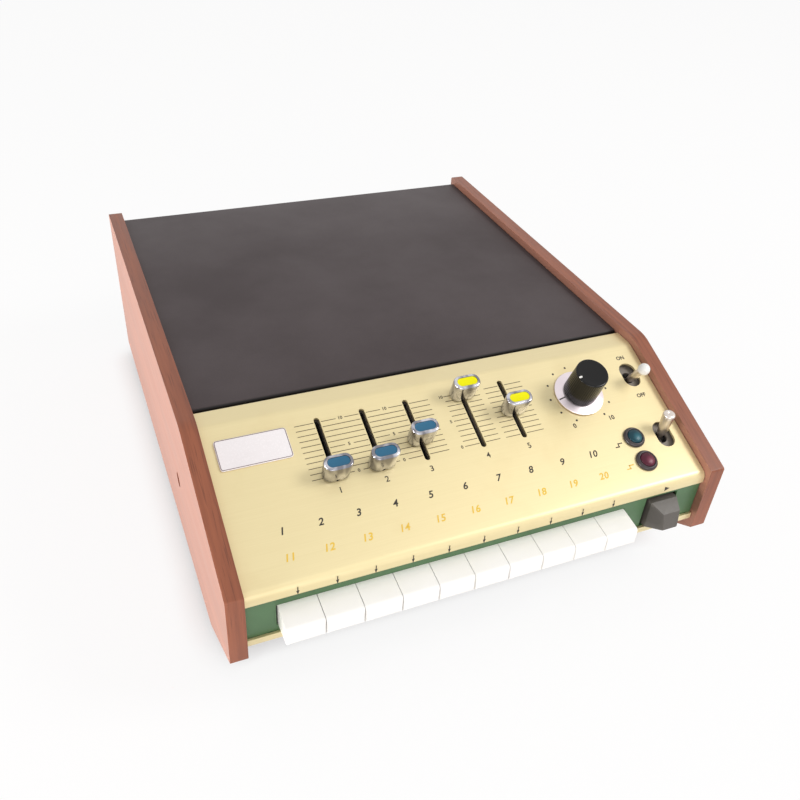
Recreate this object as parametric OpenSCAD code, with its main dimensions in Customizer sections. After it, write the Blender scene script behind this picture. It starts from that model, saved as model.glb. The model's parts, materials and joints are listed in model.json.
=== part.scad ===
// Preset drum machine: a folded metal case between two wooden side panels. Its sloping control panel carries
// five slider controls, a tempo knob, two toggle switches and two jewel lamps above a row of push keys.
// X runs to the right, Y to the rear and Z up. The origin is on the table, under the whole object's middle.

/* [Case] */
// Overall width across both side panels
case_w = 280; // [270:1:300]
// Depth of a side panel, front edge to rear edge
case_d = 342; // [330:1:370]
// Height of a side panel above its lower edge
case_h = 108; // [105:1:114]
// Thickness of a wooden side panel
side_t = 9; // [8:0.5:11]
// Height of a side panel at its front edge
front_top_z = 74; // [72:0.5:76]
// Distance from a side panel's front edge to the bend in its top edge
bend_y = 88; // [86:0.5:92]
// Distance from a side panel's front edge to the start of its flat lower edge
chamfer_y = 50; // [46:1:54]
// Radius of the bend in a side panel's top edge
bend_r = 24; // [10:1:40]
// How far the metal top lies below the wood, square to the surface
top_drop = 4.6; // [3.5:0.1:5.5]

/* [Sheet metal] */
// Thickness of the steel cover, tray, rear panel and control plate
steel_t = 1.2; // [0.8:0.1:1.5]
// Thickness of the gold aluminium and of the green fascia
alu_t = 1.5; // [1.2:0.1:1.6]
// Distance from a side panel's front edge to the face of the gold panel
gold_y = 3; // [2:0.1:4]
// Length of the gold panel's flat strip behind the bend
gold_flat = 13.6; // [12:0.2:16]
// Width of the dark gap between the gold panel and the cover
cover_gap = 1.8; // [1:0.1:2.5]
// Radius of the gold panel's rounded nose
nose_r = 5; // [4:0.25:6]
// Distance from the cover's rear face to the side panels' rear edges
rear_inset = 2; // [2:0.1:4]
// Depth of the folded edges of the cover
hem_h = 13; // [11:0.5:16]

/* [Front] */
// Distance from a side panel's front corner down to the green band's upper edge
band_drop = 10; // [9.5:0.25:11]
// Height of the green band
band_h = 24; // [23.5:0.25:25]
// Height of the gold trim strip under the green band
trim_h = 5; // [4:0.25:6]
// Distance from the green band down to the start of the side panels' chamfer
toe_drop = 9; // [8:0.25:12]
// Gap between two white keys
key_gap = 0.35; // [0.3:0.05:0.6]
// Distance from the left side panel to the first white key
row_inset = 15.85; // [13:0.05:18]
// Distance from the last white key to the start key
row_gap = 16.75; // [15:0.05:18]
// Distance from the green band's upper edge down to the keys' middle
key_drop = 12.9; // [12.4:0.1:13.4]
// Height of a white key where it passes the fascia
key_h = 13.7; // [12.5:0.1:14.5]
// How far a white key stands out in front of the side panels
key_reach = 10.7; // [9:0.1:12]
// How far a key moves in when it is pushed
key_travel = 4; // [3:0.25:4.5]
// Width of the start key
start_w = 17; // [16:0.25:18]
// Height of the start key where it passes the fascia
start_h = 18; // [17:0.1:18.6]
// Distance from the right side panel to the middle of the start key
start_inset = 25.9; // [24:0.1:27]

/* [Controls] */
// Distance from the panel's bend down its slope to the middle of the slider slots
slider_drop = 27.3; // [26:0.1:29]
// Travel of a slider
slider_travel = 30; // [26:1:31]
// Width of a slider slot
slot_w = 3.1; // [2.8:0.1:3.6]
// Width of a slider knob
knob_w = 15.4; // [14:0.2:17]
// Depth of a slider knob
knob_d = 8.6; // [8:0.2:10]
// Height of a slider knob above the panel
knob_h = 13.5; // [11:0.25:15]
// Distance from the panel's bend down its slope to the tempo knob's axis
tempo_drop = 27.3; // [26:0.1:29]
// Diameter of the tempo knob
tempo_d = 19.6; // [17:0.2:22]
// Height of the tempo knob above the panel
tempo_h = 21.5; // [18:0.5:24]
// Diameter of the bright skirt under the tempo knob
skirt_d = 29.4; // [26:0.2:32]
// Distance from the right side panel to the toggle switches
toggle_inset = 12; // [11:0.1:13]
// Length of a toggle lever from its pivot
lever_l = 22.7; // [20:0.1:24]
// Tilt of a toggle lever each way
lever_tilt = 14; // [10:1:16]
// Diameter of a toggle lever's end
lever_d = 7; // [6:0.1:7.6]
// Distance from the right side panel to the jewel lamps
lamp_inset = 31.5; // [30:0.5:33]
// Outer diameter of a lamp bezel
bezel_d = 12.6; // [12:0.1:14]

/* [Feet] */
// Height of a foot below the case
foot_h = 8; // [6:0.5:12]
// Diameter of a foot
foot_d = 21; // [17:0.5:22]

/* [Hidden] */
$fn = 48;

// Colours
walnut = "#8c5a46";
charcoal = "#564f52";
gold = "#dcc489";
green = "#47694a";
ivory = "#f4f2ea";
start_grey = "#6a6662";
steel = "#b4b6b8";
chrome = "#c9cacc";
blue = "#23739b";
yellow = "#f0ee14";
black = "#1c1b1b";
rubber = "#2a2827";
board_green = "#4c6a3a";

// Clearances
face_gap = 0.1;      // between parts that are fastened face to face
side_gap = 0.4;      // between the metalwork and a side panel
pass_gap = 0.3;      // around a part that moves through a plate
run_gap = 0.05;      // around a turning shaft, on the radius
screw_gap = 0.15;    // around a screw in a plain hole, on the radius
thread_gap = 0.05;   // around a screw in a threaded hole, on the radius
cut = 1;             // how far a cutter runs past the face it cuts

// The white keys' side view, about their middle height
fascia_y = gold_y + alu_t + face_gap;
lip_y = fascia_y + alu_t + pass_gap;      // front of the lips that retain the keys behind the fascia
key_side = rounded(
  [[lip_y + cut, -key_h / 2], [gold_y, -key_h / 2], [-key_reach, -key_h / 2 + 2],
   [0.8 - key_reach, key_h / 2 - 1.8], [gold_y, key_h / 2], [lip_y + cut, key_h / 2]],
  [0, 4, 2.2, 2.6, 4, 0]
);

// The case in its own frame: Y from the side panels' front edge and Z from their lower edge
mid_y = (case_d + min([for (point = key_side) point.x])) / 2;
inner_w = case_w - 2 * side_t;
metal_w = inner_w - 2 * side_gap;
left_x = -inner_w / 2;
right_x = inner_w / 2;
slope = atan((case_h - front_top_z) / bend_y);
top_z = case_h - top_drop;
gold_bend_y = bend_y + top_drop * tan(slope / 2);
gold_rear_y = gold_bend_y + gold_flat;
nose_z = front_top_z + gold_y * tan(slope) - top_drop / cos(slope);
cover_y = gold_rear_y + cover_gap;
rear_y = case_d - rear_inset;
band_top_z = front_top_z - band_drop;
band_low_z = band_top_z - band_h;
front_low_z = band_low_z - toe_drop;

// Control positions: x across the panel, and v up its slope, which is slope_l long
slope_l = norm([bend_y, case_h - front_top_z]);
slider_share = [0.229, 0.3244, 0.4198, 0.5458, 0.6412];   // of the width between the side panels
slider_x = [for (share = slider_share) left_x + share * inner_w];
slider_v = slope_l - slider_drop;
slider_place = [-0.5, -0.5, -0.2, 0.5, -0.03];   // share of the travel, from the slot's middle
tempo_x = right_x - 0.1924 * inner_w;
tempo_v = slope_l - tempo_drop;
toggle_x = right_x - toggle_inset;
lamp_x = right_x - lamp_inset;
power_v = slope_l - 22.1;
row_v = 30.7;
lamp_v = [32.7, 17.5];
pointer_turn = 97;                                // the tempo pointer's rest, anticlockwise from straight up

// The keys
start_x = right_x - start_inset;
start_z = (band_low_z + band_top_z) / 2 - 2.1;
row_x = [left_x + row_inset, start_x - start_w / 2 - row_gap];
key_pitch = (row_x[1] - row_x[0]) / 10;
key_x = [for (i = [0:9]) row_x[0] + (i + 0.5) * key_pitch];
key_z = band_top_z - key_drop;

// Outlines: corner() rounds the corner b of a-b-c, rounded() a closed outline and bent() an open path
function unit(v) = v / norm(v);
function left_of(v) = [-v.y, v.x];
function last(list) = len(list) - 1;
function corner(a, b, c, r, n) =
  r <= 0 ? [b] :
  let (
    u = unit(a - b), w = unit(c - b),
    half = acos(u * w) / 2,
    centre = b + unit(u + w) * r / sin(half),
    start = b + u * r / tan(half) - centre,
    a0 = atan2(start.y, start.x),
    sweep = sign(cross(b - a, c - b)) * (180 - 2 * half)
  )
  [for (i = [0:n]) centre + r * [cos(a0 + sweep * i / n), sin(a0 + sweep * i / n)]];
function rounded(points, radii, n = 6) = [
  for (i = [0:last(points)])
    each corner(
      points[(i + last(points)) % len(points)], points[i], points[(i + 1) % len(points)], radii[i], n
    )
];
function bent(points, radii, n) = [
  points[0],
  for (i = [1:last(points) - 1]) each corner(points[i - 1], points[i], points[i + 1], radii[i - 1], n),
  points[last(points)]
];
// The path moved to its left by t, with its corners kept parallel
function moved(points, t) = [
  for (i = [0:last(points)])
    let (
      u = left_of(unit(points[max(i, 1)] - points[max(i, 1) - 1])),
      w = left_of(unit(points[min(i, last(points) - 1) + 1] - points[min(i, last(points) - 1)]))
    )
    points[i] + t * (u + w) / (1 + u * w)
];
function reversed(list) = [for (i = [last(list):-1:0]) list[i]];

// A Y-Z outline drawn out along X
module across(width) rotate([90, 0, 90]) linear_extrude(width, center = true) children();
// Folded sheet of thickness t: points give its outer face, with the metal on their left
module folded(points, radii, t, width, n = 6)
  across(width)
    polygon(concat(bent(points, radii, n), reversed(bent(moved(points, t), [for (r = radii) r - t], n))));
// A box standing on z = 0, with its middle over the origin
module block(size) translate([-size.x / 2, -size.y / 2, 0]) cube(size);
// A slot with round ends, along Y, through z0 to z1
module slot(length, width, z0, z1) translate([0, 0, z0]) linear_extrude(z1 - z0) {
  square([width, length - width], center = true);
  for (end = [-1, 1]) translate([0, end * (length - width) / 2]) circle(d = width);
}
// A flat rectangle with round corners
module soft_rect(w, d, r) {
  square([w - 2 * r, d], center = true);
  square([w, d - 2 * r], center = true);
  for (sx = [-1, 1], sy = [-1, 1]) translate([sx * (w / 2 - r), sy * (d / 2 - r)]) circle(r);
}
// Moves from the case's own frame to the table's, and from the sloping panel's frame to the table's
module in_case() translate([0, -mid_y, foot_h]) children();
module on_panel(x = 0, v = 0)
  in_case() translate([0, 0, front_top_z]) rotate([slope, 0, 0]) translate([x, v, -top_drop]) children();

// ---- Screws ----
outer_bolt_d = 4;
outer_bolt_y = 117;
outer_bolt_z = 47.5;
outer_bolt_sink = [9, 4];        // diameter and depth of its recess
wood_screw_d = 3.2;
wood_screw_l = 6.4;              // how far it bites into the wood
wood_screw_spots = [for (share = [0.265, 0.585, 0.85]) [share * case_d, 10]];   // y and z, in the tray
plate_screw_spots = [for (share = [0.28, 0.85]) [share * slope_l, -9.5]];       // v and h, in the plate
machine_screw_d = 3;
rear_screw_x = [for (share = [-0.38, 0, 0.38]) share * inner_w];
cover_screw_z = top_z - hem_h / 2 - 1;
tray_screw_z = 10;
foot_screw_d = 3.5;
foot_spots = [
  for (side = [-1, 1], y = [70, case_d - 32]) [side * (case_w / 2 - 13), y]
];
board_screw_d = 2.5;
board_margin = [31, 17, 58];     // from a side panel, from the cover's front edge and from its rear face
board_size = [inner_w - 2 * board_margin[0], rear_y - cover_y - board_margin[1] - board_margin[2]];
board_mid_y = cover_y + board_margin[1] + board_size.y / 2;
board_spots = [
  for (sx = [-1, 1], sy = [-1, 1])
    [sx * (board_size.x / 2 - 8), board_mid_y + sy * (board_size.y / 2 - 10)]
];
boss_top_z = 9;

// Screw with its head's underside at z = 0 and its shank going down
module pan_screw(d, head_d, head_h, length) {
  difference() {
    translate([0, 0, face_gap]) cylinder(h = head_h - face_gap, d1 = head_d, d2 = head_d * 0.86);
    for (turn = [0, 90]) rotate([0, 0, turn])
      translate([-head_d * 0.3, -d * 0.12, head_h * 0.5]) cube([head_d * 0.6, d * 0.24, head_h]);
  }
  translate([0, 0, -length]) cylinder(h = length + head_h * 0.4, d = d);
}
// Places where a screw goes: Z points out along the screw, from the face that its head rests on
module outer_bolt_place(side)
  in_case() translate([side * (case_w / 2 - outer_bolt_sink[1]), outer_bolt_y, outer_bolt_z])
    rotate([0, side * 90, 0]) children();
module wood_screw_places(side) {
  in_case() for (spot = wood_screw_spots)
    translate([side * (metal_w / 2 - steel_t), spot.x, spot.y]) rotate([0, -side * 90, 0]) children();
  on_panel() for (spot = plate_screw_spots)
    translate([side * (metal_w / 2 - steel_t), spot.x, spot.y]) rotate([0, -side * 90, 0]) children();
}
module rear_screw_places(y, z)
  in_case() for (x = rear_screw_x) translate([x, y, z]) rotate([-90, 0, 0]) children();
// A hole for a screw of diameter d, to depth z0
module screw_hole(d, gap, z0 = -3) translate([0, 0, z0]) cylinder(h = cut - z0, d = d + 2 * gap);

module side_panel_screws() color(steel) for (side = [-1, 1]) {
  outer_bolt_place(side)
    pan_screw(outer_bolt_d, 7.4, 2.8, side_t - outer_bolt_sink[1] + side_gap + steel_t + 2);
  wood_screw_places(side) pan_screw(wood_screw_d, 6, 2, wood_screw_l + side_gap + steel_t);
}
module case_screws() color(steel) {
  rear_screw_places(rear_y, cover_screw_z) pan_screw(machine_screw_d, 5.8, rear_inset - face_gap, 7);
  rear_screw_places(rear_face_y, tray_screw_z) pan_screw(machine_screw_d, 5.8, 1.9, 7);
  in_case() for (spot = board_spots)
    translate([spot.x, spot.y, boss_top_z + face_gap + board_t]) pan_screw(board_screw_d, 5, 1.8, 6);
}

// ---- Wooden side panels ----
side_outline = rounded(
  [[case_d, 0], [case_d, case_h], [bend_y, case_h], [0, front_top_z], [0, front_low_z], [chamfer_y, 0]],
  [1, 1.5, bend_r, 1.5, 1.5, 6]
);
module side_panel(side) color(walnut) difference() {
  in_case() translate([side * (case_w - side_t) / 2, 0, 0]) across(side_t) polygon(side_outline);
  outer_bolt_place(side) {
    cylinder(h = outer_bolt_sink[1] + cut, d = outer_bolt_sink[0]);
    screw_hole(outer_bolt_d, screw_gap, -side_t - cut);
  }
  wood_screw_places(side) screw_hole(wood_screw_d, thread_gap, -wood_screw_l - side_gap - steel_t - 0.3);
}
module left_side_panel() side_panel(-1);
module right_side_panel() side_panel(1);

// ---- Steel case ----
rear_face_y = rear_y - steel_t - face_gap;
rear_flange = 14;
rear_top_z = top_z - steel_t - pass_gap;
tray_front_y = fascia_y + alu_t + face_gap;
tray_rear_y = rear_face_y - steel_t - face_gap;
tray_flange_h = 17;
tray_nose_z = band_low_z - trim_h - 1.5;

module top_cover() color(charcoal) difference() {
  in_case() {
    folded(
      [[rear_y, top_z - hem_h], [rear_y, top_z], [cover_y, top_z], [cover_y, top_z - hem_h + 3]],
      [2.6, 1.8], steel_t, metal_w
    );
    for (side = [-1, 1]) translate([side * (metal_w - steel_t) / 2, 0, 0]) across(steel_t) polygon([
      [cover_y + 5, top_z - hem_h + 3], [rear_y - rear_flange - 5, top_z - hem_h + 3],
      [rear_y - rear_flange - 5, top_z - steel_t / 2], [cover_y + 5, top_z - steel_t / 2]
    ]);
  }
  rear_screw_places(rear_y, cover_screw_z) screw_hole(machine_screw_d, screw_gap);
}

module rear_panel() color(charcoal) difference() {
  in_case() folded(
    [[rear_face_y, 0.5], [rear_face_y, rear_top_z], [rear_face_y - rear_flange, rear_top_z]],
    [2], steel_t, metal_w
  );
  rear_screw_places(rear_face_y, cover_screw_z) screw_hole(machine_screw_d, thread_gap);
  rear_screw_places(rear_face_y, tray_screw_z) screw_hole(machine_screw_d, screw_gap);
  for (x = jack_x) on_rear(x, jack_z) screw_hole(jack_bush_d, screw_gap);
  on_rear(fuse_x, fuse_z) screw_hole(fuse_d, screw_gap);
  on_rear(bush_x, bush_z) screw_hole(bush_d, screw_gap);
}

module bottom_tray() color(steel) difference() {
  in_case() {
    folded(
      [[tray_front_y, band_low_z - 1], [tray_front_y, tray_nose_z], [chamfer_y + 3, 0], [tray_rear_y, 0],
       [tray_rear_y, tray_flange_h]],
      [2, 8, 2], steel_t, metal_w
    );
    for (side = [-1, 1]) translate([side * (metal_w - steel_t) / 2, 0, 0]) across(steel_t) polygon([
      [chamfer_y + 6, steel_t / 2], [tray_rear_y - 2, steel_t / 2], [tray_rear_y - 2, tray_flange_h],
      [outer_bolt_y + 16, tray_flange_h], [outer_bolt_y + 9, outer_bolt_z + 9],
      [outer_bolt_y - 9, outer_bolt_z + 9], [outer_bolt_y - 16, tray_flange_h],
      [chamfer_y + 6, tray_flange_h]
    ]);
    for (spot = board_spots)
      translate([spot.x, spot.y, steel_t / 2]) cylinder(h = boss_top_z - steel_t / 2, d = 7);
  }
  for (side = [-1, 1]) {
    outer_bolt_place(side) screw_hole(outer_bolt_d, thread_gap, -side_t);
    wood_screw_places(side) screw_hole(wood_screw_d, screw_gap);
  }
  rear_screw_places(tray_rear_y, tray_screw_z) screw_hole(machine_screw_d, thread_gap);
  in_case() {
    for (spot = foot_spots) translate([spot.x, spot.y, 2]) screw_hole(foot_screw_d, thread_gap, -4);
    for (spot = board_spots)
      translate([spot.x, spot.y, boss_top_z]) screw_hole(board_screw_d, thread_gap, -boss_top_z - cut);
  }
}

// ---- Feet ----
foot_sink = [9, 4];
foot_side = rounded(
  [[foot_sink[0] / 2, 0], [foot_d / 2 - 0.6, 0], [foot_d / 2, foot_h - face_gap],
   [foot_screw_d / 2 + screw_gap, foot_h - face_gap], [foot_screw_d / 2 + screw_gap, foot_sink[1]],
   [foot_sink[0] / 2, foot_sink[1]]],
  [0, 1.2, 0.4, 0, 0, 0], 4
);
module rubber_feet() color(rubber) in_case() for (spot = foot_spots)
  translate([spot.x, spot.y, -foot_h]) rotate_extrude($fn = 64) polygon(foot_side);
module foot_screws() color(steel) in_case() for (spot = foot_spots)
  translate([spot.x, spot.y, foot_sink[1] - foot_h]) rotate([180, 0, 0])
    pan_screw(foot_screw_d, 7.6, 2.4, foot_h - foot_sink[1] + 5);

// ---- Gold front panel and its fittings ----
slot_l = slider_travel + 8;
toggle_slot = [10.6, 16.4];
tempo_hole_d = 10;
barrel_d = 10;
module front_panel() color(gold) difference() {
  in_case() folded(
    [[gold_rear_y, top_z - 10], [gold_rear_y, top_z], [gold_bend_y, top_z], [gold_y, nose_z],
     [gold_y, band_top_z]],
    [1.8, 10, nose_r], alu_t, metal_w, 10
  );
  for (x = slider_x) on_panel(x, slider_v) slot(slot_l, slot_w, -alu_t - cut, cut);
  for (v = [power_v, row_v]) on_panel(toggle_x, v) slot(toggle_slot.y, toggle_slot.x, -alu_t - cut, cut);
  on_panel(tempo_x, tempo_v) translate([0, 0, -alu_t - cut]) cylinder(h = alu_t + 2 * cut, d = tempo_hole_d);
  for (v = lamp_v) on_panel(lamp_x, v)
    translate([0, 0, -alu_t - cut]) cylinder(h = alu_t + 2 * cut, d = barrel_d + 2 * screw_gap);
}

badge = [37.3, 17.6];
badge_at = [left_x + 24.2, slope_l - 19.2];
module badge_plate() color(gold) on_panel(badge_at.x, badge_at.y)
  translate([0, 0, face_gap]) linear_extrude(0.9) soft_rect(badge.x, badge.y, 1.7);

plate_h = -3.5;                  // height of the control plate's upper face in the panel's frame
plate_low_h = plate_h - steel_t;
plate_v = [10, slope_l - 0.3];
plate_fold = [-9.5, -14];        // how low its front and rear folds reach
plate_hole_d = 7.5;
pot_bush_d = 9;
module control_plate() color(steel) difference() {
  union() {
    on_panel() folded(
      [[plate_v[1], plate_fold[1]], [plate_v[1], plate_h], [plate_v[0], plate_h], [plate_v[0], plate_fold[0]]],
      [2, 2], steel_t, metal_w
    );
    on_panel() for (side = [-1, 1]) translate([side * (metal_w - steel_t) / 2, 0, 0]) across(steel_t)
      polygon([
        [plate_v[0] + 4, plate_fold[1]], [plate_v[1] - 4, plate_fold[1]],
        [plate_v[1] - 4, plate_h - steel_t / 2], [plate_v[0] + 4, plate_h - steel_t / 2]
      ]);
    for (x = [left_x + 8, 0, right_x - 4], v = [plate_v[0] + 3, plate_v[1] - 4]) on_panel(x, v)
      translate([0, 0, plate_h - steel_t / 2]) cylinder(h = -alu_t - face_gap - plate_h + steel_t / 2, d = 4);
  }
  for (side = [-1, 1]) wood_screw_places(side) screw_hole(wood_screw_d, screw_gap);
  for (x = slider_x) on_panel(x, slider_v) slot(slot_l + 0.5, slot_w + 0.5, plate_low_h - cut, plate_h + cut);
  for (v = [power_v, row_v]) on_panel(toggle_x, v)
    translate([0, 0, plate_low_h - cut]) cylinder(h = steel_t + 2 * cut, d = plate_hole_d);
  on_panel(tempo_x, tempo_v)
    translate([0, 0, plate_low_h - cut]) cylinder(h = steel_t + 2 * cut, d = pot_bush_d + 0.2);
  for (v = lamp_v) on_panel(lamp_x, v)
    translate([0, 0, plate_low_h - cut]) cylinder(h = steel_t + 2 * cut, d = barrel_d + 2 * thread_gap);
}

// ---- Green fascia and trim strip ----
fascia_low_z = band_low_z - trim_h + alu_t + face_gap;
fascia_top_z = band_top_z + 2.2;
key_window = [key_x[9] - key_x[0] + key_pitch + 1, key_h + 2 * pass_gap];
start_gap = [1.9, 0.8, 2.1];    // window beside, below and above the start key
start_window = [start_w + 2 * start_gap.x, start_h + start_gap.y + start_gap.z];
module key_fascia() color(green) in_case() difference() {
  translate([0, fascia_y + alu_t / 2, fascia_low_z]) block([metal_w, alu_t, fascia_top_z - fascia_low_z]);
  translate([(key_x[0] + key_x[9]) / 2, fascia_y, key_z - key_window.y / 2])
    block([key_window.x, 4 * alu_t, key_window.y]);
  translate([start_x - 0.2, fascia_y, start_z - start_h / 2 - start_gap.y])
    block([start_window.x, 4 * alu_t, start_window.y]);
}
module lower_trim() color(gold) in_case() folded(
  [[gold_y, band_low_z], [gold_y, band_low_z - trim_h], [tray_front_y - face_gap, band_low_z - trim_h]],
  [1.8], alu_t, metal_w
);

// ---- Keys ----
bank_h = 14;
stem = [6, 4.5];
stem_gap = 0.15;
lip_t = 1.6;
lip_h = 1.4;
bank_y = lip_y + lip_t + key_travel + 5;
bank_d = 25;
stem_end_y = bank_y + bank_d + 3;
key_w = key_pitch - key_gap;
// A key's retaining lip behind the fascia and its stem, for a key of height h at height z
module key_tail(x, z, w, h) {
  translate([x, lip_y + lip_t / 2, z - h / 2 - lip_h]) block([w, lip_t, h + 2 * lip_h]);
  translate([x, (lip_y + stem_end_y) / 2, z - stem.y / 2]) block([stem.x, stem_end_y - lip_y, stem.y]);
}
key_plan = rounded(
  [[-key_w / 2, lip_y + cut], [-key_w / 2, -key_reach], [key_w / 2, -key_reach],
   [key_w / 2, lip_y + cut]],
  [0, 1.6, 1.6, 0]
);
module white_key(i) color(ivory) in_case() {
  intersection() {
    translate([key_x[i], 0, key_z]) across(key_w) polygon(key_side);
    translate([key_x[i], 0, key_z - key_h]) linear_extrude(2 * key_h) polygon(key_plan);
  }
  key_tail(key_x[i], key_z, key_w, key_h);
}
module key_1() white_key(0);
module key_2() white_key(1);
module key_3() white_key(2);
module key_4() white_key(3);
module key_5() white_key(4);
module key_6() white_key(5);
module key_7() white_key(6);
module key_8() white_key(7);
module key_9() white_key(8);
module key_10() white_key(9);

start_side = rounded(
  [[lip_y + cut, -start_h / 2], [gold_y - 0.5, -start_h / 2], [-7, 4.1 - start_h / 2],
   [-5, start_h / 2 - 3.4], [gold_y - 0.5, start_h / 2], [lip_y + cut, start_h / 2]],
  [0, 0.6, 0.6, 0.6, 0.6, 0], 3
);
start_plan = rounded(
  [[-start_w / 2, lip_y + cut], [-start_w / 2, gold_y - 0.5], [4.9 - start_w / 2, -7],
   [start_w / 2 - 2.9, -7], [start_w / 2, gold_y - 0.5], [start_w / 2, lip_y + cut]],
  [0, 0.6, 0.6, 0.6, 0.6, 0], 3
);
start_lip_rise = 1.9;            // the lip reaches higher than the key, to cover the window
start_tail_z = start_z + start_lip_rise / 2;
module start_key() color(start_grey) in_case() {
  intersection() {
    translate([start_x, 0, start_z]) across(start_w) polygon(start_side);
    translate([start_x, 0, start_z - start_h]) linear_extrude(2 * start_h) polygon(start_plan);
  }
  key_tail(start_x, start_tail_z, start_w, start_h + start_lip_rise);
}

// Channel that guides the stems, with its contact strip and a leg to the tray at each end
bank_x = [key_x[0] - 11, start_x + 12];
bank_mid_x = (bank_x[0] + bank_x[1]) / 2;
bank_w = bank_x[1] - bank_x[0];
bank_sheet = 1.2;
leg_y = [chamfer_y + 9, chamfer_y + 23];
leg_foot = 9;
module key_switch_bank() color(steel) in_case() difference() {
  union() {
    translate([bank_mid_x, 0, key_z]) folded(
      [[bank_y + bank_d, -bank_h / 2], [bank_y + bank_d, bank_h / 2], [bank_y, bank_h / 2],
       [bank_y, -bank_h / 2]],
      [1.6, 1.6], bank_sheet, bank_w
    );
    translate([bank_mid_x, bank_y + bank_d / 2, key_z - bank_h / 2])
      block([bank_w - 2, bank_d - bank_sheet, 3.2]);
    for (side = [-1, 1]) translate([bank_mid_x + side * (bank_w - bank_sheet) / 2, 0, 0]) {
      across(bank_sheet) polygon([
        [bank_y + 9, key_z - 4], [bank_y + 9, key_z - bank_h / 2 - 4], [leg_y[0], leg_foot],
        [leg_y[0], steel_t + face_gap], [leg_y[1], steel_t + face_gap], [leg_y[1], leg_foot],
        [bank_y + bank_d, key_z - bank_h / 2 - 4], [bank_y + bank_d, key_z - 4]
      ]);
      translate([-side * 4, (leg_y[0] + leg_y[1]) / 2, steel_t + face_gap])
        block([leg_foot, leg_y[1] - leg_y[0], bank_sheet]);
    }
  }
  for (x = key_x) stem_window(x, key_z);
  stem_window(start_x, start_tail_z);
}
module stem_window(x, z) translate([x, bank_y + bank_d / 2, z - stem.y / 2 - stem_gap])
  block([stem.x + 2 * stem_gap, bank_d + 2 * cut, stem.y + 2 * stem_gap]);

// ---- Slider controls ----
pot_w = 10;
pot_deep = 10;
pot_top_h = plate_low_h - face_gap;
tab = [1.6, 4];                  // the lever above its carriage, in X and up the slope
carriage = [6.4, 6, 4];
carriage_h = pot_top_h - 2 - carriage.z;
module slide_pots() color(steel) for (x = slider_x) on_panel(x, slider_v) difference() {
  translate([0, 0, pot_top_h - pot_deep]) block([pot_w, slider_travel + 15, pot_deep]);
  translate([0, 0, carriage_h - pass_gap])
    block([carriage.x + 0.4, slider_travel + carriage.y + 1.6, carriage.z + 2 * pass_gap]);
  slot(slider_travel + tab.y + 2, tab.x + 2 * pass_gap, carriage_h + cut, pot_top_h + cut);
}
module on_slider(i) on_panel(slider_x[i], slider_v + slider_place[i] * slider_travel) children();
tab_top_h = knob_h - 4.5;
module slider_lever(i) color(steel) on_slider(i) {
  translate([0, 0, carriage_h]) block(carriage);
  translate([0, 0, carriage_h + 1]) block([tab.x, tab.y, tab_top_h - carriage_h - 1]);
}
module slider_lever_1() slider_lever(0);
module slider_lever_2() slider_lever(1);
module slider_lever_3() slider_lever(2);
module slider_lever_4() slider_lever(3);
module slider_lever_5() slider_lever(4);

knob_base_h = 0.9;               // gap between the knob and the panel
insert_size = [knob_w - 3.6, knob_d - 3.6];
insert_deep = 2.4;
module knob_slice(w, d, r, h) translate([0, 0, h]) linear_extrude(0.01) soft_rect(w, d, r, $fn = 32);
module insert_outline(grow)
  soft_rect(insert_size.x + 2 * grow, insert_size.y + 2 * grow, insert_size.y / 2 + grow - 0.01);
module slider_knob(i) color(chrome) on_slider(i) difference() {
  hull() {
    knob_slice(knob_w - 1.8, knob_d - 0.4, knob_d / 2 - 0.5, knob_base_h);
    knob_slice(knob_w - 0.8, knob_d + 0.2, knob_d / 2 - 0.3, knob_base_h + 0.6);
    knob_slice(knob_w, knob_d, knob_d / 2 - 0.4, knob_h - 1.1);
    knob_slice(knob_w - 0.5, knob_d - 0.5, knob_d / 2 - 0.6, knob_h - 0.4);
    knob_slice(knob_w - 1.7, knob_d - 1.7, knob_d / 2 - 1.1, knob_h - 0.01);
  }
  translate([0, 0, knob_h - insert_deep]) linear_extrude(insert_deep + cut) insert_outline(face_gap / 2);
  block([tab.x + 2 * thread_gap, tab.y + 2 * thread_gap, tab_top_h + face_gap]);
  translate([0, -knob_d / 2, 0]) rotate([-90, 0, 0]) cylinder(h = 3, d = 3.4, center = true);
}
module slider_knob_1() slider_knob(0);
module slider_knob_2() slider_knob(1);
module slider_knob_3() slider_knob(2);
module slider_knob_4() slider_knob(3);
module slider_knob_5() slider_knob(4);

// Coloured insert, dished a little on top
module slider_insert(i, hue) color(hue) on_slider(i) difference() {
  translate([0, 0, knob_h - insert_deep + face_gap]) linear_extrude(insert_deep - 0.4) insert_outline(0);
  translate([0, 0, knob_h - 0.7]) linear_extrude(cut) insert_outline(-0.7);
}
module slider_insert_1() slider_insert(0, blue);
module slider_insert_2() slider_insert(1, blue);
module slider_insert_3() slider_insert(2, blue);
module slider_insert_4() slider_insert(3, yellow);
module slider_insert_5() slider_insert(4, yellow);

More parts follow.
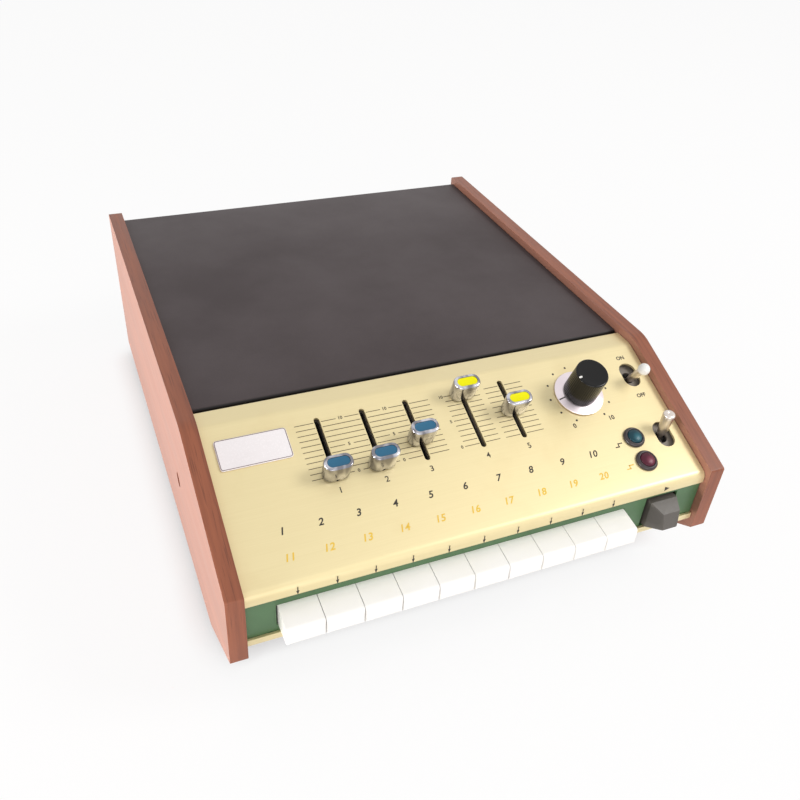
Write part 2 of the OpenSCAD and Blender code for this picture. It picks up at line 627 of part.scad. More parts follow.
// ---- Tempo control ----
shaft_d = 6;
shaft_top_h = tempo_h - 5;
skirt_h = [0.5, 2.5];
rotor = [16, 2];                 // the disc inside the pot: diameter and thickness
rotor_h = plate_low_h - 7;
module on_tempo() on_panel(tempo_x, tempo_v) rotate([0, 0, pointer_turn]) children();
module tempo_pot() color(steel) on_panel(tempo_x, tempo_v) difference() {
  union() {
    translate([0, 0, pot_top_h - pot_deep]) cylinder(h = pot_deep, d = 24);
    translate([0, 0, pot_top_h - cut]) cylinder(h = -0.2 - pot_top_h + cut, d = pot_bush_d);
    translate([0, 0, plate_h + face_gap]) cylinder(h = 1.6, d = 13.5, $fn = 6);
    for (x = [-5, 0, 5]) translate([x, -12.5, pot_top_h - pot_deep + 2]) block([2, 6, 0.8]);
  }
  translate([0, 0, rotor_h - run_gap]) cylinder(h = cut - rotor_h + run_gap, d = shaft_d + 2 * run_gap);
  translate([0, 0, rotor_h - run_gap]) cylinder(h = rotor[1] + 2 * run_gap, d = rotor[0] + 0.6);
}
module tempo_shaft() color(chrome) on_tempo() {
  translate([0, 0, rotor_h]) cylinder(h = shaft_top_h - rotor_h, d = shaft_d);
  translate([0, 0, rotor_h]) cylinder(h = rotor[1], d = rotor[0]);
}
module tempo_skirt() color(chrome) on_tempo() difference() {
  rotate_extrude($fn = 96) polygon([
    [shaft_d / 2 + thread_gap, skirt_h[0]], [skirt_d / 2 - 0.4, skirt_h[0]], [skirt_d / 2, skirt_h[0] + 0.4],
    [skirt_d / 2, skirt_h[0] + 0.8], [tempo_d / 2 + 1.4, skirt_h[1] - 0.2], [tempo_d / 2 + 0.4, skirt_h[1]],
    [shaft_d / 2 + thread_gap, skirt_h[1]]
  ]);
  translate([0, skirt_d / 2 - 2.4, skirt_h[1] - 0.75]) rotate([-20, 0, 0]) block([0.7, 4.2, 3]);
}
module tempo_knob() color(black) on_tempo() difference() {
  rotate_extrude($fn = 72) polygon([
    [shaft_d / 2 + thread_gap, skirt_h[1] + face_gap], [tempo_d / 2 - 0.3, skirt_h[1] + face_gap],
    [tempo_d / 2, skirt_h[1] + 0.5], [tempo_d / 2 - 0.4, tempo_h - 0.9], [tempo_d / 2 - 0.65, tempo_h - 0.35],
    [tempo_d / 2 - 1.2, tempo_h], [tempo_d / 2 - 1.7, tempo_h - 0.3], [0, tempo_h - 0.3],
    [0, shaft_top_h + face_gap], [shaft_d / 2 + thread_gap, shaft_top_h + face_gap]
  ]);
  translate([0, tempo_d / 2 - 1.3, tempo_h - 0.6]) block([1, 3, 1]);
}

// ---- Toggle switches ----
pivot_h = -8.5;
ball_r = 3.1;
toggle_body = [13, 22, 12];
lever_base_h = plate_low_h - face_gap - pivot_h;    // body's upper face above the pivot
module toggle_body(v) color(black) on_panel(toggle_x, v) translate([0, 0, pivot_h]) difference() {
  union() {
    translate([0, 0, lever_base_h - toggle_body.z]) block(toggle_body);
    for (y = [-7, 0, 7]) translate([0, y, lever_base_h - toggle_body.z - 3]) block([5, 1, 3 + cut]);
  }
  sphere(r = ball_r + 0.1);
  translate([0, 0, 1]) cylinder(h = lever_base_h - 1 + 0.01, r1 = ball_r - 0.2, r2 = ball_r + 0.2);
}
module power_switch_body() toggle_body(power_v);
module row_switch_body() toggle_body(row_v);
module on_lever(v, tilt) on_panel(toggle_x, v) translate([0, 0, pivot_h]) rotate([tilt, 0, 0]) children();
neck_r = 1.7;
tip_r = lever_d / 2;
module lever_ball() sphere(r = ball_r);
module row_lever() color(chrome) on_lever(row_v, -lever_tilt) difference() {
  union() {
    lever_ball();
    rotate_extrude() polygon(concat(
      [[0, 0], [neck_r, 0], [neck_r, 5.2]],
      bent([[tip_r - 0.8, 8.6], [tip_r, lever_l - 3], [tip_r, lever_l], [0, lever_l]], [0, 1.2], 5)
    ));
  }
  translate([0, 0, lever_l + 1.1]) sphere(r = 1.5);
}
// The power lever ends in a peg that carries its white tip
peg_r = 1.2;
tip_z = lever_l - 0.1;           // the middle of the ball end
collar_h = 2.5;                  // the white tip's collar below that
module power_lever() color(chrome) on_lever(power_v, lever_tilt) {
  lever_ball();
  rotate_extrude() polygon([
    [0, 0], [neck_r, 0], [neck_r, 5.2], [2.3, 8.6], [2.2, tip_z - collar_h - 0.1], [peg_r, tip_z - collar_h - 0.1], [peg_r, tip_z + 1],
    [0, tip_z + 1]
  ]);
}
module power_lever_tip() color(ivory) on_lever(power_v, lever_tilt) difference() {
  union() {
    translate([0, 0, tip_z]) sphere(r = tip_r);
    translate([0, 0, tip_z - collar_h]) cylinder(h = collar_h, r1 = 2.4, r2 = tip_r * 0.98);
  }
  translate([0, 0, tip_z - 4]) cylinder(h = 5.1, r = peg_r + thread_gap);
  translate([0, 0, tip_z - collar_h - 4]) cylinder(h = 4, r = tip_r);
}

// ---- Jewel lamps ----
lens_d = 8.6;
barrel_low_h = -6;
module lamp_bezels() color(black) for (v = lamp_v) on_panel(lamp_x, v) rotate_extrude($fn = 64) polygon([
  [lens_d / 2 + run_gap, barrel_low_h], [barrel_d / 2, barrel_low_h], [barrel_d / 2, face_gap],
  [bezel_d / 2, face_gap], [bezel_d / 2, 0.9], [bezel_d / 2 - 0.5, 1.7], [bezel_d / 2 - 1.3, 2.2],
  [lens_d / 2 + 0.5, 2.2], [lens_d / 2 + run_gap, 1.8]
]);
// Domed lens with a short stem down the bezel's bore
module lens(v, hue) color(hue) on_panel(lamp_x, v) rotate_extrude($fn = 48) polygon(concat(
  [[0, -2.5], [lens_d / 2, -2.5], [lens_d / 2, 1.9]],
  [for (a = [15:15:90]) [lens_d / 2 * cos(a), 1.9 + 1.6 * sin(a)]]
));
module teal_lens() lens(lamp_v[0], "#0a4b55");
module red_lens() lens(lamp_v[1], "#6e1e37");
module pilot_lamps() color(steel) for (v = lamp_v) on_panel(lamp_x, v) rotate_extrude($fn = 48) polygon([
  [0, -14], [3, -14], [3, -12], [4.9, -12], [4.9, barrel_low_h - face_gap], [2.6, barrel_low_h - face_gap],
  [2.2, -5], [2.2, -4.4], [1.5, -3.5], [0, -3.2]
]);

// ---- Circuit board and transformer ----
board_t = 1.6;
chip = [7, 19, 3.6];
capacitor = [11, 14];            // diameter and height
film_cap = [3, 7, 5];
trimmer = [6.5, 6.5, 4.5];
connector = [24, 5, 8];
// A place on the board, as shares of its width and depth from its middle
module on_board(share) translate([share.x * board_size.x, share.y * board_size.y, board_t - 0.2]) children();
module circuit_board() color(board_green) in_case() translate([0, board_mid_y, boss_top_z + face_gap]) {
  difference() {
    block([board_size.x, board_size.y, board_t]);
    for (spot = board_spots)
      translate([spot.x, spot.y - board_mid_y, board_t]) screw_hole(board_screw_d, screw_gap);
  }
  for (column = [0:5], row = [0, 1]) on_board([-0.4 + 0.08 * column, -0.25 + 0.22 * row]) block(chip);
  for (i = [0:3]) on_board([0.15 + 0.07 * i, 0.3]) cylinder(h = capacitor[1] - 2 * i, d = capacitor[0] - i);
  for (i = [0:6]) on_board([0.12 + 0.045 * i, 0.07]) block(film_cap);
  for (i = [0:4]) on_board([0.13 + 0.055 * i, -0.24]) block(trimmer);
  for (i = [0:2]) on_board([-0.3 + 0.17 * i, -0.44]) block(connector);
}
core = [46, 26, 38];
coil = [30, 40, 25];
bracket = [66, 20, 1.2];
transformer_inset = [45, 34];    // of its middle, from the right side panel and the cover's rear face
module power_transformer() color(steel) in_case()
translate([right_x - transformer_inset[0], rear_y - transformer_inset[1], steel_t + face_gap]) {
  translate([0, 0, bracket.z / 2]) block(core);
  translate([0, 0, (core.z - coil.z) / 2 + bracket.z / 2]) block(coil);
  difference() {
    block(bracket);
    for (side = [-1, 1])
      translate([side * (bracket.x + core.x) / 4, 0, 2 * bracket.z]) screw_hole(machine_screw_d, screw_gap, -4);
  }
}

// ---- Rear fittings ----
jack_x = [left_x + 39, left_x + 69];
jack_z = 44;
jack_body = [15, 18, 26];        // width, height and depth behind the panel
jack_bush_d = 9;
jack_bush_h = 2.8;
jack_nut = [13, 2];              // across corners, and thickness
jack_bore_d = 6.5;
jack_bore_l = 25;
fuse_x = right_x - 101;
fuse_z = 44;
fuse_d = 12;
fuse_l = 33;                     // body, from its head to its rear end
fuse_flange = [16, 1.4];         // diameter and thickness
fuse_tab = [4, 0.9, 7];
bush_x = right_x - 35;
bush_z = 32;
bush_d = 12;
bush_bore_r = 3.6;
bush_tail = 9;                   // length behind the panel
bush_head = [16, 2.6];           // diameter and height
// Places on the rear panel: Z points out of its face
module on_rear(x, z) in_case() translate([x, rear_face_y, z]) rotate([-90, 0, 0]) children();
module rear_jacks() color(black) for (x = jack_x) on_rear(x, jack_z) difference() {
  union() {
    translate([0, 0, -steel_t - face_gap - jack_body.z]) block(jack_body);
    translate([0, 0, -steel_t - cut]) cylinder(h = steel_t + cut + jack_bush_h, d = jack_bush_d);
    translate([0, 0, face_gap]) cylinder(h = jack_nut[1], d = jack_nut[0], $fn = 6);
  }
  translate([0, 0, -jack_bore_l]) cylinder(h = jack_bore_l + 2 * jack_bush_h, d = jack_bore_d);
}
module fuse_holder() color(black) on_rear(fuse_x, fuse_z) difference() {
  union() {
    translate([0, 0, 1 - fuse_l]) cylinder(h = fuse_l, d = fuse_d);
    translate([0, 0, face_gap]) cylinder(h = fuse_flange[1], d = fuse_flange[0]);
    translate([0, 0, 1]) cylinder(h = 2, d1 = fuse_d - 0.6, d2 = fuse_d - 1.4);
    translate([0, 0, -steel_t - face_gap - 2]) cylinder(h = 2, d = fuse_flange[0], $fn = 6);
    translate([0, 0, 2 - fuse_l - fuse_tab.z]) block(fuse_tab);
  }
  translate([0, 0, 2.2]) block([fuse_d * 2 / 3, 1.4, 2]);
}
module cable_bush() color(black) on_rear(bush_x, bush_z) rotate_extrude($fn = 64) polygon([
  [bush_bore_r, -bush_tail], [bush_bore_r + 1.6, -bush_tail], [bush_d / 2, -bush_tail + 3],
  [bush_d / 2 + 0.8, -steel_t - face_gap], [bush_d / 2, -steel_t - face_gap], [bush_d / 2, face_gap],
  [bush_head[0] / 2, face_gap], [bush_head[0] / 2, bush_head[1] - 1],
  [bush_head[0] / 2 - 0.8, bush_head[1]], [bush_bore_r, bush_head[1]]
]);

left_side_panel();
right_side_panel();
top_cover();
rear_panel();
bottom_tray();
front_panel();
control_plate();
key_fascia();
lower_trim();
badge_plate();
side_panel_screws();
case_screws();
rubber_feet();
foot_screws();
slide_pots();
slider_lever_1();
slider_lever_2();
slider_lever_3();
slider_lever_4();
slider_lever_5();
slider_knob_1();
slider_knob_2();
slider_knob_3();
slider_knob_4();
slider_knob_5();
slider_insert_1();
slider_insert_2();
slider_insert_3();
slider_insert_4();
slider_insert_5();
key_1();
key_2();
key_3();
key_4();
key_5();
key_6();
key_7();
key_8();
key_9();
key_10();
start_key();
key_switch_bank();
tempo_knob();
tempo_skirt();
tempo_shaft();
tempo_pot();
power_switch_body();
power_lever();
power_lever_tip();
row_switch_body();
row_lever();
lamp_bezels();
teal_lens();
red_lens();
pilot_lamps();
circuit_board();
power_transformer();
rear_jacks();
fuse_holder();
cable_bush();
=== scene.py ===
import json
import math
import bmesh
import bpy
from mathutils import Matrix, Vector


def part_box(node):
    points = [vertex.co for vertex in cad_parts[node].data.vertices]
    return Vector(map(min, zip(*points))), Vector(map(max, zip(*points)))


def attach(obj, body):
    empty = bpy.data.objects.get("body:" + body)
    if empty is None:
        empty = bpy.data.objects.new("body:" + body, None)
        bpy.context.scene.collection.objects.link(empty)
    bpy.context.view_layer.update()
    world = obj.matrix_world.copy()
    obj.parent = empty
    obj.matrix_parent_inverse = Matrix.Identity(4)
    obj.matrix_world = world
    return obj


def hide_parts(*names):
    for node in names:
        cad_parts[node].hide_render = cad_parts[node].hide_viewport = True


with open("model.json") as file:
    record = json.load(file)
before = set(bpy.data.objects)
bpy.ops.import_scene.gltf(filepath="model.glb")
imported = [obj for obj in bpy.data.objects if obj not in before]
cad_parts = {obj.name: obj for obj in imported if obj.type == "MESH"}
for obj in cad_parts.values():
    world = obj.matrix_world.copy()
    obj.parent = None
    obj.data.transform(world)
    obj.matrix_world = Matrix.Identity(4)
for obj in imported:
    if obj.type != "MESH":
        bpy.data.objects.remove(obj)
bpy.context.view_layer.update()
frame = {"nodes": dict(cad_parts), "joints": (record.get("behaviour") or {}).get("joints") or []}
print("frame loaded:", len(frame["nodes"]), "nodes")

mm = 0.001
nodes = frame["nodes"]
joints = {joint["name"]: joint for joint in frame["joints"]}


# Shader tools

def tint(red, green, blue):
    picked = [channel / 255 for channel in (red, green, blue)]    # display values to linear ones
    return [c / 12.92 if c <= 0.04045 else ((c + 0.055) / 1.055) ** 2.4 for c in picked] + [1.0]


def addNode(tree, kind, sockets=None, **settings):
    made = tree.nodes.new(kind)
    for name, value in settings.items():
        setattr(made, name, value)
    for name, value in (sockets or {}).items():
        if isinstance(value, bpy.types.NodeSocket):
            tree.links.new(value, made.inputs[name])
        else:
            made.inputs[name].default_value = value
    return made


def newMaterial(name, **constants):
    material = bpy.data.materials.new(name)
    material.use_nodes = True
    tree = material.node_tree
    shader = tree.nodes["Principled BSDF"]
    for socket, value in constants.items():
        shader.inputs[socket.replace("_", " ")].default_value = value
    return material, tree, shader


def placeOf(tree, scale=(1, 1, 1), turn=(0, 0, 0), centre=(0, 0, 0)):
    spot = addNode(tree, "ShaderNodeTexCoord").outputs["Object"]
    return addNode(tree, "ShaderNodeMapping", {
        "Vector": spot, "Scale": scale, "Rotation": turn, "Location": centre,
    }).outputs["Vector"]


def noiseOf(tree, place, scale, detail=4, roughness=0.55, distortion=0.0):
    return addNode(tree, "ShaderNodeTexNoise", {
        "Vector": place, "Scale": scale, "Detail": detail, "Roughness": roughness, "Distortion": distortion,
    }).outputs["Fac"]


def spread(tree, value, low, high, toLow=0.0, toHigh=1.0):
    return addNode(tree, "ShaderNodeMapRange", {
        "Value": value, "From Min": low, "From Max": high, "To Min": toLow, "To Max": toHigh,
    }, clamp=True).outputs["Result"]


def mathOf(tree, operation, first, second=0.0):
    return addNode(tree, "ShaderNodeMath", {0: first, 1: second}, operation=operation).outputs[0]


def blendOf(tree, factor, first, second):
    return addNode(tree, "ShaderNodeMix", {0: factor, 6: first, 7: second}, data_type="RGBA").outputs[2]


def bumpOf(tree, shader, height, distance, strength=1.0):
    bump = addNode(tree, "ShaderNodeBump", {"Height": height, "Distance": distance, "Strength": strength})
    tree.links.new(bump.outputs["Normal"], shader.inputs["Normal"])


def link(tree, value, shader, socket):
    tree.links.new(value, shader.inputs[socket])


# Finishes

def woodFinish():
    wood = {
        "light": tint(160, 94, 66), "dark": tint(120, 66, 46), "pore": tint(88, 46, 33),
        "paintedGlare": tint(176, 134, 118), "paintedGlareShare": 0.45,       # painted highlight: the broad side faces are washed paler, as glare shows them
        "stretch": 0.035, "edgeShift": (0.3, 0.1, 0), "sideFacing": 0.7,
        "fibre": 420, "figure": 46, "figureShare": 0.62, "poreScale": 1300, "poreShare": 0.5, "relief": 0.00012,
    }
    material, tree, shader = newMaterial("walnutVeneer", Specular_IOR_Level=0.3, Coat_Weight=0.25,
                                         Coat_Roughness=0.42)
    along = placeOf(tree, scale=(1, wood["stretch"], 1))
    edge = placeOf(tree, scale=(1, wood["stretch"], wood["stretch"]), centre=wood["edgeShift"])
    facing = addNode(tree, "ShaderNodeNewGeometry").outputs["Normal"]
    split = addNode(tree, "ShaderNodeSeparateXYZ", {0: facing}).outputs["X"]
    isSide = mathOf(tree, "GREATER_THAN", mathOf(tree, "ABSOLUTE", split), wood["sideFacing"])
    place = addNode(tree, "ShaderNodeMix", {0: isSide, 4: edge, 5: along}, data_type="VECTOR").outputs[1]
    figure = noiseOf(tree, place, wood["figure"], detail=3, distortion=0.6)
    fibre = noiseOf(tree, place, wood["fibre"], detail=6, roughness=0.62)
    pores = noiseOf(tree, place, wood["poreScale"], detail=2)
    share = wood["figureShare"]
    blend = mathOf(tree, "ADD", mathOf(tree, "MULTIPLY", figure, share), mathOf(tree, "MULTIPLY", fibre, 1 - share))
    colour = blendOf(tree, spread(tree, blend, 0.36, 0.62), wood["dark"], wood["light"])
    poreMask = spread(tree, pores, 0.57, 0.7, 0.0, wood["poreShare"])
    colour = blendOf(tree, poreMask, colour, wood["pore"])
    # painted highlight: side faces blend towards the pale washed colour
    colour = blendOf(tree, mathOf(tree, "MULTIPLY", isSide, wood["paintedGlareShare"]), colour, wood["paintedGlare"])
    link(tree, colour, shader, "Base Color")
    link(tree, spread(tree, fibre, 0.3, 0.7, 0.38, 0.5), shader, "Roughness")
    bumpOf(tree, shader, mathOf(tree, "SUBTRACT", fibre, poreMask), wood["relief"], 0.5)
    return material


def coverFinish():
    cover = {
        # painted shade: the near-black shadow colour of the gap at the cover's front hem
        "base": tint(68, 59, 60), "worn": tint(82, 73, 74), "gapShade": tint(20, 17, 18),
        "grain": 1500, "patches": 9, "patchShare": 0.75, "relief": 0.00009,
    }
    material, tree, shader = newMaterial("coverPaint", Specular_IOR_Level=0.25)
    place = placeOf(tree)
    patches = noiseOf(tree, place, cover["patches"], detail=6, roughness=0.6)
    grain = noiseOf(tree, place, cover["grain"], detail=3)
    share = cover["patchShare"]
    mask = mathOf(tree, "ADD", mathOf(tree, "MULTIPLY", patches, share), mathOf(tree, "MULTIPLY", grain, 1 - share))
    colour = blendOf(tree, spread(tree, mask, 0.38, 0.64), cover["base"], cover["worn"])
    facing = addNode(tree, "ShaderNodeNewGeometry").outputs["Normal"]
    front = addNode(tree, "ShaderNodeSeparateXYZ", {0: facing}).outputs["Y"]
    gapShadeMask = spread(tree, front, -0.75, -0.35, 1.0, 0.0)       # painted shade: faces turned to the front, such as the hem in the gap to the gold panel, go near-black
    link(tree, blendOf(tree, gapShadeMask, colour, cover["gapShade"]), shader, "Base Color")
    link(tree, spread(tree, patches, 0.3, 0.7, 0.56, 0.46), shader, "Roughness")
    bumpOf(tree, shader, grain, cover["relief"], 0.5)
    return material


def goldFinish():
    gold = {
        "base": tint(229, 212, 162), "pale": tint(233, 217, 169), "stain": tint(220, 199, 146), "stainShare": 0.4,
        "brush": 1900, "brushStretch": (0.012, 1, 1), "patches": 19, "relief": 0.000005,
    }
    material, tree, shader = newMaterial("brushedGold", Metallic=0.42, Coat_Weight=0.6, Coat_Roughness=0.28)
    brushed = noiseOf(tree, placeOf(tree, scale=gold["brushStretch"]), gold["brush"], detail=3, roughness=0.7)
    patches = noiseOf(tree, placeOf(tree), gold["patches"], detail=5, roughness=0.6)
    colour = blendOf(tree, spread(tree, brushed, 0.3, 0.7), gold["base"], gold["pale"])
    colour = blendOf(tree, spread(tree, patches, 0.56, 0.74, 0.0, gold["stainShare"]), colour, gold["stain"])
    link(tree, colour, shader, "Base Color")
    link(tree, spread(tree, brushed, 0.3, 0.7, 0.44, 0.52), shader, "Roughness")
    bumpOf(tree, shader, brushed, gold["relief"], 0.3)
    return material


def paintFinish(name, base, worn, roughness, grain=900, relief=0.00004, **constants):
    material, tree, shader = newMaterial(name, **constants)
    place = placeOf(tree)
    soft = noiseOf(tree, place, 40, detail=5)
    fine = noiseOf(tree, place, grain, detail=3)
    link(tree, blendOf(tree, spread(tree, soft, 0.4, 0.66), base, worn), shader, "Base Color")
    link(tree, spread(tree, fine, 0.3, 0.7, roughness[0], roughness[1]), shader, "Roughness")
    bumpOf(tree, shader, fine, relief, 0.4)
    return material


def metalFinish(name, base, shade, roughness, scale=700, relief=0.000003):
    material, tree, shader = newMaterial(name, Metallic=1.0)
    fine = noiseOf(tree, placeOf(tree), scale, detail=4, roughness=0.6)
    soft = noiseOf(tree, placeOf(tree), 120, detail=4)
    link(tree, blendOf(tree, spread(tree, soft, 0.35, 0.7), base, shade), shader, "Base Color")
    link(tree, spread(tree, fine, 0.3, 0.7, roughness[0], roughness[1]), shader, "Roughness")
    bumpOf(tree, shader, fine, relief, 0.3)
    return material


def chromeFinish():
    chrome = {
        "bright": tint(208, 207, 214), "dark": tint(136, 134, 140),
        "lean": math.radians(-20), "reflectionBands": 240, "stretch": 0.02,          # painted reflection: light and dark bands run down a knob's wall
    }
    material, tree, shader = newMaterial("knobChrome", Metallic=1.0)
    place = placeOf(tree, scale=(1, 1, chrome["stretch"]), turn=(chrome["lean"], 0, 0))
    reflectionStreaks = noiseOf(tree, place, chrome["reflectionBands"], detail=1, roughness=0.4)
    # painted reflection: the streak bands set the chrome's colour
    colour = blendOf(tree, spread(tree, reflectionStreaks, 0.38, 0.62), chrome["dark"], chrome["bright"])
    link(tree, colour, shader, "Base Color")
    link(tree, spread(tree, reflectionStreaks, 0.3, 0.7, 0.12, 0.22), shader, "Roughness")
    return material


finish = {
    "wood": woodFinish(),
    "cover": coverFinish(),
    "gold": goldFinish(),
    "green": paintFinish("greenPaint", tint(81, 116, 78), tint(73, 106, 70), (0.36, 0.46)),
    "badge": paintFinish("badgeEnamel", tint(248, 242, 243), tint(244, 237, 238), (0.22, 0.3), relief=0.000004),
    "ivory": paintFinish("keyPlastic", tint(252, 250, 247), tint(250, 248, 243), (0.3, 0.38), Coat_Weight=0.25,
                         Coat_Roughness=0.12),
    "greyKey": paintFinish("greyKeyPlastic", tint(91, 86, 81), tint(84, 79, 74), (0.42, 0.52), relief=0.00006),
    # painted highlight: a lighter grey for the start key's bevelled edges
    "startEdgeHighlight": paintFinish("startKeyEdgeHighlight", tint(150, 146, 140), tint(128, 123, 117), (0.4, 0.5), relief=0.00006),
    "black": paintFinish("glossBlack", tint(17, 16, 16), tint(13, 12, 12), (0.1, 0.18), relief=0.000002,
                         Specular_IOR_Level=0.26),
    "knobTop": paintFinish("knobTop", tint(82, 80, 88), tint(72, 70, 78), (0.5, 0.6), Specular_IOR_Level=0.2),
    "darkPlastic": paintFinish("moulding", tint(34, 33, 33), tint(28, 27, 27), (0.4, 0.5)),
    "bezel": paintFinish("bezelPlastic", tint(58, 50, 52), tint(50, 43, 45), (0.3, 0.4)),
    "rubber": paintFinish("footRubber", tint(40, 38, 37), tint(34, 32, 31), (0.7, 0.85), relief=0.0001),
    "blackInk": paintFinish("blackInk", tint(44, 38, 32), tint(52, 44, 36), (0.5, 0.6)),
    "lineInk": paintFinish("lineInk", tint(78, 66, 44), tint(92, 78, 52), (0.5, 0.6)),
    # painted shade: the dark line along the badge plate's edge
    "badgeEdgeShade": paintFinish("badgeEdgeShade", tint(112, 92, 96), tint(124, 102, 104), (0.5, 0.6)),
    "yellowInk": paintFinish("yellowInk", tint(238, 198, 66), tint(234, 192, 76), (0.5, 0.6)),
    "white": paintFinish("whitePlastic", tint(244, 242, 238), tint(240, 238, 232), (0.25, 0.32), Coat_Weight=0.3),
    "chrome": chromeFinish(),
    "satinRim": metalFinish("satinRim", tint(216, 208, 204), tint(200, 192, 188), (0.34, 0.44)),
    "skirt": metalFinish("turnedSkirt", tint(234, 222, 226), tint(226, 213, 217), (0.28, 0.32), relief=0.000001),
    "lever": metalFinish("leverNickel", tint(226, 217, 210), tint(210, 200, 192), (0.28, 0.4)),
    "steel": metalFinish("zincSteel", tint(150, 148, 144), tint(134, 132, 128), (0.35, 0.5), scale=400),
    "plate": paintFinish("plateGrey", tint(140, 132, 124), tint(124, 116, 108), (0.4, 0.5)),
    "screw": metalFinish("screwZinc", tint(176, 174, 168), tint(150, 148, 142), (0.28, 0.42)),
    "tray": paintFinish("trayBlack", tint(52, 50, 50), tint(44, 42, 42), (0.45, 0.6)),
    "potBody": paintFinish("potBody", tint(34, 30, 28), tint(28, 25, 24), (0.5, 0.65)),
    "board": paintFinish("boardGreen", tint(66, 92, 58), tint(56, 80, 50), (0.35, 0.5)),
    "coil": paintFinish("transformerSteel", tint(92, 84, 74), tint(80, 72, 64), (0.4, 0.55)),
    "blueInsert": paintFinish("blueInsert", tint(31, 100, 134), tint(28, 94, 126), (0.28, 0.36)),
    "yellowInsert": paintFinish("yellowInsert", tint(246, 240, 2), tint(238, 232, 2), (0.3, 0.4),
                                Specular_IOR_Level=0.2),
}
print("finishes made:", len(finish))


# Mesh tools

up = Vector(joints["slider_1_slide"]["axis"])
out = Vector(joints["tempo_turn"]["axis"])
panel = {"tempoUp": 67.04}                       # height of the tempo knob's axis up the slope
tempoAt = Vector(joints["tempo_turn"]["pos_m"])
panelZero = Vector((0, tempoAt.y, tempoAt.z)) - up * panel["tempoUp"] * mm
panelFrame = Matrix((
    (1, up.x, out.x, panelZero.x), (0, up.y, out.y, panelZero.y), (0, up.z, out.z, panelZero.z), (0, 0, 0, 1),
))


def onPanel(x, v, h=0.0):
    return panelFrame @ Matrix.Translation(Vector((x, v, h)) * mm) @ Matrix.Scale(mm, 4)


def panelBox(name):
    back = panelFrame.inverted()
    spots = [back @ vertex.co / mm for vertex in nodes[name].data.vertices]
    low = Vector([min(spot[axis] for spot in spots) for axis in range(3)])
    high = Vector([max(spot[axis] for spot in spots) for axis in range(3)])
    return low, high


def smoothed(mesh, degrees):
    mesh.polygons.foreach_set("use_smooth", [True] * len(mesh.polygons))
    mesh.set_sharp_from_angle(angle=math.radians(degrees))


def addPiece(name, mesh, body, materials, replaces=()):
    piece = bpy.data.objects.new(name, mesh)
    bpy.context.scene.collection.objects.link(piece)
    mesh.materials.clear()
    for material in materials:
        mesh.materials.append(material)
    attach(piece, body)
    if replaces:
        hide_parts(*replaces)
    return piece


def meshOf(name, points, faces, place=None, marks=None):
    mesh = bpy.data.meshes.new(name)
    mesh.from_pydata([Vector(point) for point in points], [], faces)
    if marks:
        mesh.polygons.foreach_set("material_index", marks)
    if place is not None:
        mesh.transform(place)
    mesh.update()
    return mesh


def baked(name, mesh, *modifiers):
    holder = bpy.data.objects.new(name, mesh)      # evaluates modifiers on a mesh and gives the plain result
    bpy.context.scene.collection.objects.link(holder)
    for kind, settings in modifiers:
        modifier = holder.modifiers.new(kind, kind)
        for setting, value in settings.items():
            setattr(modifier, setting, value)
    ready = holder.evaluated_get(bpy.context.evaluated_depsgraph_get())
    result = bpy.data.meshes.new_from_object(ready)
    bpy.data.objects.remove(holder)
    return result


def copied(node, merge=2e-6, flat=1.0):                # a CAD mesh, with its triangles joined into faces
    mesh = nodes[node].data.copy()
    work = bmesh.new()
    work.from_mesh(mesh)
    bmesh.ops.remove_doubles(work, verts=work.verts, dist=merge)
    bmesh.ops.dissolve_limit(work, angle_limit=math.radians(flat), verts=work.verts, edges=work.edges)
    work.to_mesh(mesh)
    work.free()
    mesh.materials.clear()
    if mesh.has_custom_normals:
        mesh.attributes.remove(mesh.attributes["custom_normal"])
    return mesh


def softened(node, width, body, materials, segments=3, limit=35, rimMaterial=-1):
    mesh = copied(node)
    for material in materials:
        mesh.materials.append(material)
    mesh.polygons.foreach_set("use_smooth", [True] * len(mesh.polygons))
    result = baked(node, mesh, ("BEVEL", {
        "width": width * mm, "segments": segments, "limit_method": "ANGLE", "angle_limit": math.radians(limit),
        "harden_normals": True, "use_clamp_overlap": True, "material": rimMaterial,
    }))
    return addPiece(node + "_soft", result, body, materials, [node])


def ringOf(width, depth, radius, steps=8):             # a rectangle with rounded corners, about the origin
    points = []
    for corner, (sx, sy) in enumerate(((1, 1), (-1, 1), (-1, -1), (1, -1))):
        for step in range(steps + 1):
            angle = math.radians(90 * corner + 90 * step / steps)
            points.append((sx * (width / 2 - radius) + radius * math.cos(angle),
                           sy * (depth / 2 - radius) + radius * math.sin(angle)))
    return points


def loft(name, rings, place, marks=None):              # marks: a material number for each ring's band
    count = len(rings[0])
    points = [point for ring in rings for point in ring]
    faces = [list(range(count))[::-1]]
    faceMarks = [marks[0] if marks else 0]
    for row in range(len(rings) - 1):
        for step in range(count):
            after = (step + 1) % count
            low, high = row * count, (row + 1) * count
            faces.append((low + step, low + after, high + after, high + step))
            faceMarks.append(marks[row] if marks else 0)
    faces.append([(len(rings) - 1) * count + step for step in range(count)])
    faceMarks.append(marks[-1] if marks else 0)
    return meshOf(name, points, faces, place, faceMarks)


def lathe(name, profile, place, steps=96, marks=None):
    turns = [(math.cos(math.tau * step / steps), math.sin(math.tau * step / steps)) for step in range(steps)]
    rows = [[(radius * x, radius * y, height) for x, y in turns] for radius, height in profile]
    mesh = loft(name, rows, place, marks)
    work = bmesh.new()
    work.from_mesh(mesh)
    bmesh.ops.remove_doubles(work, verts=work.verts, dist=1e-7)
    work.to_mesh(mesh)
    work.free()
    return mesh


def joined(name, meshes):
    work = bmesh.new()
    for mesh in meshes:
        work.from_mesh(mesh)
    result = bpy.data.meshes.new(name)
    work.to_mesh(result)
    work.free()
    return result


# Geometry Nodes tools

